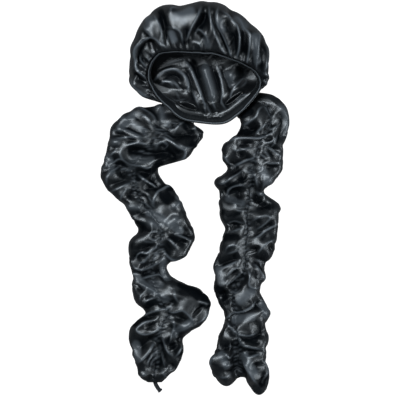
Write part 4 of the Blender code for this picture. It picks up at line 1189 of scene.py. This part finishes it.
def buildCord(start, finish):
    # a plaited cord with a rounded, heat-sealed tip
    values = cordValues
    line = splineRows(cordLine, values["along"])
    line[:, 0] += start[0] + (leftRows[-1][0] - leftMouth[2]) * sleeveValues["spread"]
    line[:, 1] += start[1] + (leftRows[-1][1] - leftMouth[3]) * sleeveValues["run"]
    way = np.gradient(line, axis=0)
    way /= np.linalg.norm(way, axis=1, keepdims=True)
    side = np.cross(way, (0.0, 0.0, 1.0))
    side /= np.linalg.norm(side, axis=1, keepdims=True)
    rise = np.cross(side, way)
    share = np.linspace(0, 1, values["along"])[:, None]
    angle = (2 * np.pi * np.arange(values["around"]) / values["around"])[None, :]
    plait = np.abs(np.sin(angle * 2 + share * np.pi * values["plaits"] * 2)) \
        + np.abs(np.sin(angle * 2 - share * np.pi * values["plaits"] * 2))
    sealed = ease((share - 0.84) / 0.06)
    radius = values["thick"] / 2 * (values["body"] + values["tipExtra"] * sealed) \
        + values["plaitDepth"] * plait * (1 - sealed)
    tip = np.sqrt(np.clip(1 - np.clip((share - 0.95) / 0.05, 0, 1) ** 2, 0, 1))
    radius = radius * tip * np.sqrt(np.clip(share / 0.02, 0, 1))
    points = line[:, None] + side[:, None] * (np.cos(angle) * radius)[:, :, None] \
        + rise[:, None] * (np.sin(angle) * radius)[:, :, None]
    points[:, :, 2] = np.maximum(points[:, :, 2], values["lowest"])
    points[0], points[-1] = line[0], line[-1]
    cord = rolledCloth("drawcordEnd", points)
    cord.data.materials.append(finish)
    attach(cord, "root")
    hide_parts("drawcord_end")
    print("cord made")


def newGroup(name, inputs, outputs):
    group = bpy.data.node_groups.new(name, "ShaderNodeTree")
    for label, kind, value in inputs:
        socket = group.interface.new_socket(name=label, in_out="INPUT", socket_type=kind)
        socket.default_value = value
    for label, kind in outputs:
        group.interface.new_socket(name=label, in_out="OUTPUT", socket_type=kind)
    return group, group.nodes.new("NodeGroupInput"), group.nodes.new("NodeGroupOutput")


def satinWeaveGroup():
    # long floats one way and fine threads the other, as height and as a soft streak mask
    group, enter, leave = newGroup(
        "satinWeave",
        [("Vector", "NodeSocketVector", (0, 0, 0)), ("Threads", "NodeSocketFloat", 900.0),
         ("Streaks", "NodeSocketFloat", 60.0)],
        [("Height", "NodeSocketFloat"), ("Streak", "NodeSocketFloat")])
    nodes, links = group.nodes, group.links
    wave = nodes.new("ShaderNodeTexWave")
    wave.bands_direction = "DIAGONAL"
    wave.inputs["Distortion"].default_value = 0.6
    links.new(enter.outputs["Vector"], wave.inputs["Vector"])
    links.new(enter.outputs["Threads"], wave.inputs["Scale"])
    streak = nodes.new("ShaderNodeTexNoise")
    links.new(enter.outputs["Vector"], streak.inputs["Vector"])
    links.new(enter.outputs["Streaks"], streak.inputs["Scale"])
    streak.inputs["Detail"].default_value = 3.0
    links.new(wave.outputs["Fac"], leave.inputs["Height"])
    links.new(streak.outputs["Fac"], leave.inputs["Streak"])
    return group


# each finish: thread colours, a painted highlight colour for the crests, and the gloss left where shade is
# painted
satinFinish = {
    "dark": (0.0014, 0.0019, 0.0025), "light": (0.0032, 0.0042, 0.0054), "paintedHighlight": (0.108, 0.119, 0.131),
    "roughLow": 0.36, "roughHigh": 0.42, "specular": 1.0, "paintedShadeGloss": 0.05,
    "bump": 0.00006, "sheen": 0.0, "threads": 900.0, "streaks": 60.0,
}
bandFinish = {
    "dark": (0.0030, 0.0038, 0.0046), "light": (0.0072, 0.0086, 0.0100), "paintedHighlight": (0.105, 0.115, 0.125),
    "roughLow": 0.42, "roughHigh": 0.52, "specular": 0.42, "paintedShadeGloss": 1.0,
    "bump": 0.0001, "sheen": 0.0, "threads": 700.0, "streaks": 90.0,
}
cordFinish = {
    "dark": (0.006, 0.007, 0.009), "light": (0.020, 0.022, 0.026), "paintedHighlight": (0.02, 0.02, 0.02),
    "roughLow": 0.65, "roughHigh": 0.85, "specular": 0.35, "paintedShadeGloss": 1.0,
    "bump": 0.0003, "sheen": 0.3, "threads": 500.0, "streaks": 300.0,
}


def attributeNode(nodes, name):
    made = nodes.new("ShaderNodeAttribute")
    made.attribute_name = name
    return made


def rangeNode(nodes, low, high):
    made = nodes.new("ShaderNodeMapRange")
    made.inputs["To Min"].default_value = low
    made.inputs["To Max"].default_value = high
    return made


def colourMix(nodes):
    # a colour mix, as its share, its two colours and its result
    made = nodes.new("ShaderNodeMix")
    made.data_type = "RGBA"
    return made.inputs[0], made.inputs[6], made.inputs[7], made.outputs[2]


def clothMaterial(name, values, weave):
    # near-black threads, with a painted highlight colour on the crests and painted shade as less gloss in the
    # hollows
    made = bpy.data.materials.new(name)
    made.use_nodes = True
    nodes, links = made.node_tree.nodes, made.node_tree.links
    shader = nodes["Principled BSDF"]
    place = nodes.new("ShaderNodeTexCoord")
    group = nodes.new("ShaderNodeGroup")
    group.node_tree = weave
    group.inputs["Threads"].default_value = values["threads"]
    group.inputs["Streaks"].default_value = values["streaks"]
    links.new(place.outputs["Object"], group.inputs["Vector"])
    share, first, second, threads = colourMix(nodes)
    first.default_value = (*values["dark"], 1)
    second.default_value = (*values["light"], 1)
    links.new(group.outputs["Streak"], share)
    # painted highlight colour, mixed in where the painted highlight mask is high
    share, first, second, colour = colourMix(nodes)
    second.default_value = (*values["paintedHighlight"], 1)
    links.new(attributeNode(nodes, "paintedHighlight").outputs["Fac"], share)
    links.new(threads, first)
    links.new(colour, shader.inputs["Base Color"])
    # painted shade: less gloss where the painted shade mask is high
    level = rangeNode(nodes, values["specular"], values["specular"] * values["paintedShadeGloss"])
    links.new(attributeNode(nodes, "paintedShade").outputs["Fac"], level.inputs["Value"])
    links.new(level.outputs["Result"], shader.inputs["Specular IOR Level"])
    rough = rangeNode(nodes, values["roughLow"], values["roughHigh"])
    links.new(group.outputs["Streak"], rough.inputs["Value"])
    links.new(rough.outputs["Result"], shader.inputs["Roughness"])
    bump = nodes.new("ShaderNodeBump")
    bump.inputs["Distance"].default_value = values["bump"]
    bump.inputs["Strength"].default_value = 0.6
    links.new(group.outputs["Height"], bump.inputs["Height"])
    links.new(bump.outputs["Normal"], shader.inputs["Normal"])
    shader.inputs["Sheen Weight"].default_value = values["sheen"]
    shader.inputs["Sheen Roughness"].default_value = 0.35
    return made


room = {
    "metresPerPixel": 0.00185, "pixels": 400, "lens": 300.0, "sensor": 36.0, "aim": (0.0098, -0.0026, 0.03),
    "worldColour": (0.50, 0.76, 1.0), "worldStrength": 0.03, "lightColour": (0.84, 0.93, 1.0),
    "floorSize": 8.0, "floorColour": (0.12, 0.12, 0.12), "floorGlow": 1.1, "floorSpill": 0.05,
    "overPlace": (-1.8, 2.0, 6.5), "overSize": 2.2, "overPower": 440,
    "sidePlace": (1.9, -0.6, 1.5), "sideSize": 0.7, "sidePower": 26,
}


def buildRoom():
    # The floor's glow is for the camera alone, so it looks pale and hardly lights the cloth.
    bpy.ops.object.select_all(action="DESELECT")
    bpy.ops.mesh.primitive_plane_add(size=room["floorSize"], location=(0, 0, 0))
    floor = bpy.context.object
    floor.name = "paleFloor"
    made = bpy.data.materials.new("paleFloor")
    made.use_nodes = True
    nodes, links = made.node_tree.nodes, made.node_tree.links
    shader = nodes["Principled BSDF"]
    shader.inputs["Base Color"].default_value = (*room["floorColour"], 1)
    shader.inputs["Roughness"].default_value = 0.9
    shader.inputs["Emission Color"].default_value = (1, 1, 1, 1)
    ray = nodes.new("ShaderNodeLightPath")
    glow = rangeNode(nodes, room["floorSpill"], room["floorGlow"])
    links.new(ray.outputs["Is Camera Ray"], glow.inputs["Value"])
    links.new(glow.outputs["Result"], shader.inputs["Emission Strength"])
    floor.data.materials.append(made)
    world = bpy.data.worlds.new("studio")
    world.use_nodes = True
    back = world.node_tree.nodes["Background"]
    back.inputs["Color"].default_value = (*room["worldColour"], 1)
    back.inputs["Strength"].default_value = room["worldStrength"]
    bpy.context.scene.world = world
    bpy.context.scene.view_settings.view_transform = "Standard"
    print("room made")


def softBox(name, place, size, power):
    # a square light that faces the middle of the layout
    data = bpy.data.lights.new(name, "AREA")
    data.shape = "RECTANGLE"
    data.size = data.size_y = size
    data.energy = power
    data.color = room["lightColour"]
    lamp = bpy.data.objects.new(name, data)
    lamp.location = place
    lamp.rotation_euler = (-Vector(place)).to_track_quat("-Z", "Y").to_euler()
    bpy.context.scene.collection.objects.link(lamp)


def buildCamera():
    # straight down, from far enough for a nearly flat view
    data = bpy.data.cameras.new("overhead")
    data.lens = room["lens"]
    data.sensor_width = room["sensor"]
    data.clip_end = 50
    camera = bpy.data.objects.new("overhead", data)
    away = room["pixels"] * room["metresPerPixel"] * data.lens / data.sensor_width
    camera.location = (room["aim"][0], room["aim"][1], room["aim"][2] + away)
    bpy.context.scene.collection.objects.link(camera)
    bpy.context.scene.camera = camera


weave = satinWeaveGroup()
satin = clothMaterial("blackSatin", satinFinish, weave)
bandSatin = clothMaterial("bandSatin", bandFinish, weave)
cordFibre = clothMaterial("cordFibre", cordFinish, weave)
print("finishes made")

mouthPlaces, sleeveStarts = buildCrown(satin)
buildBand(bandSatin)
for chosen, place, start in zip((leftSleeve, rightSleeve), mouthPlaces, sleeveStarts):
    buildSleeve(chosen, place, start, satin)
buildCord(sleeveStarts[0], cordFibre)
buildRoom()
softBox("overBox", room["overPlace"], room["overSize"], room["overPower"])
softBox("sideBox", room["sidePlace"], room["sideSize"], room["sidePower"])
buildCamera()
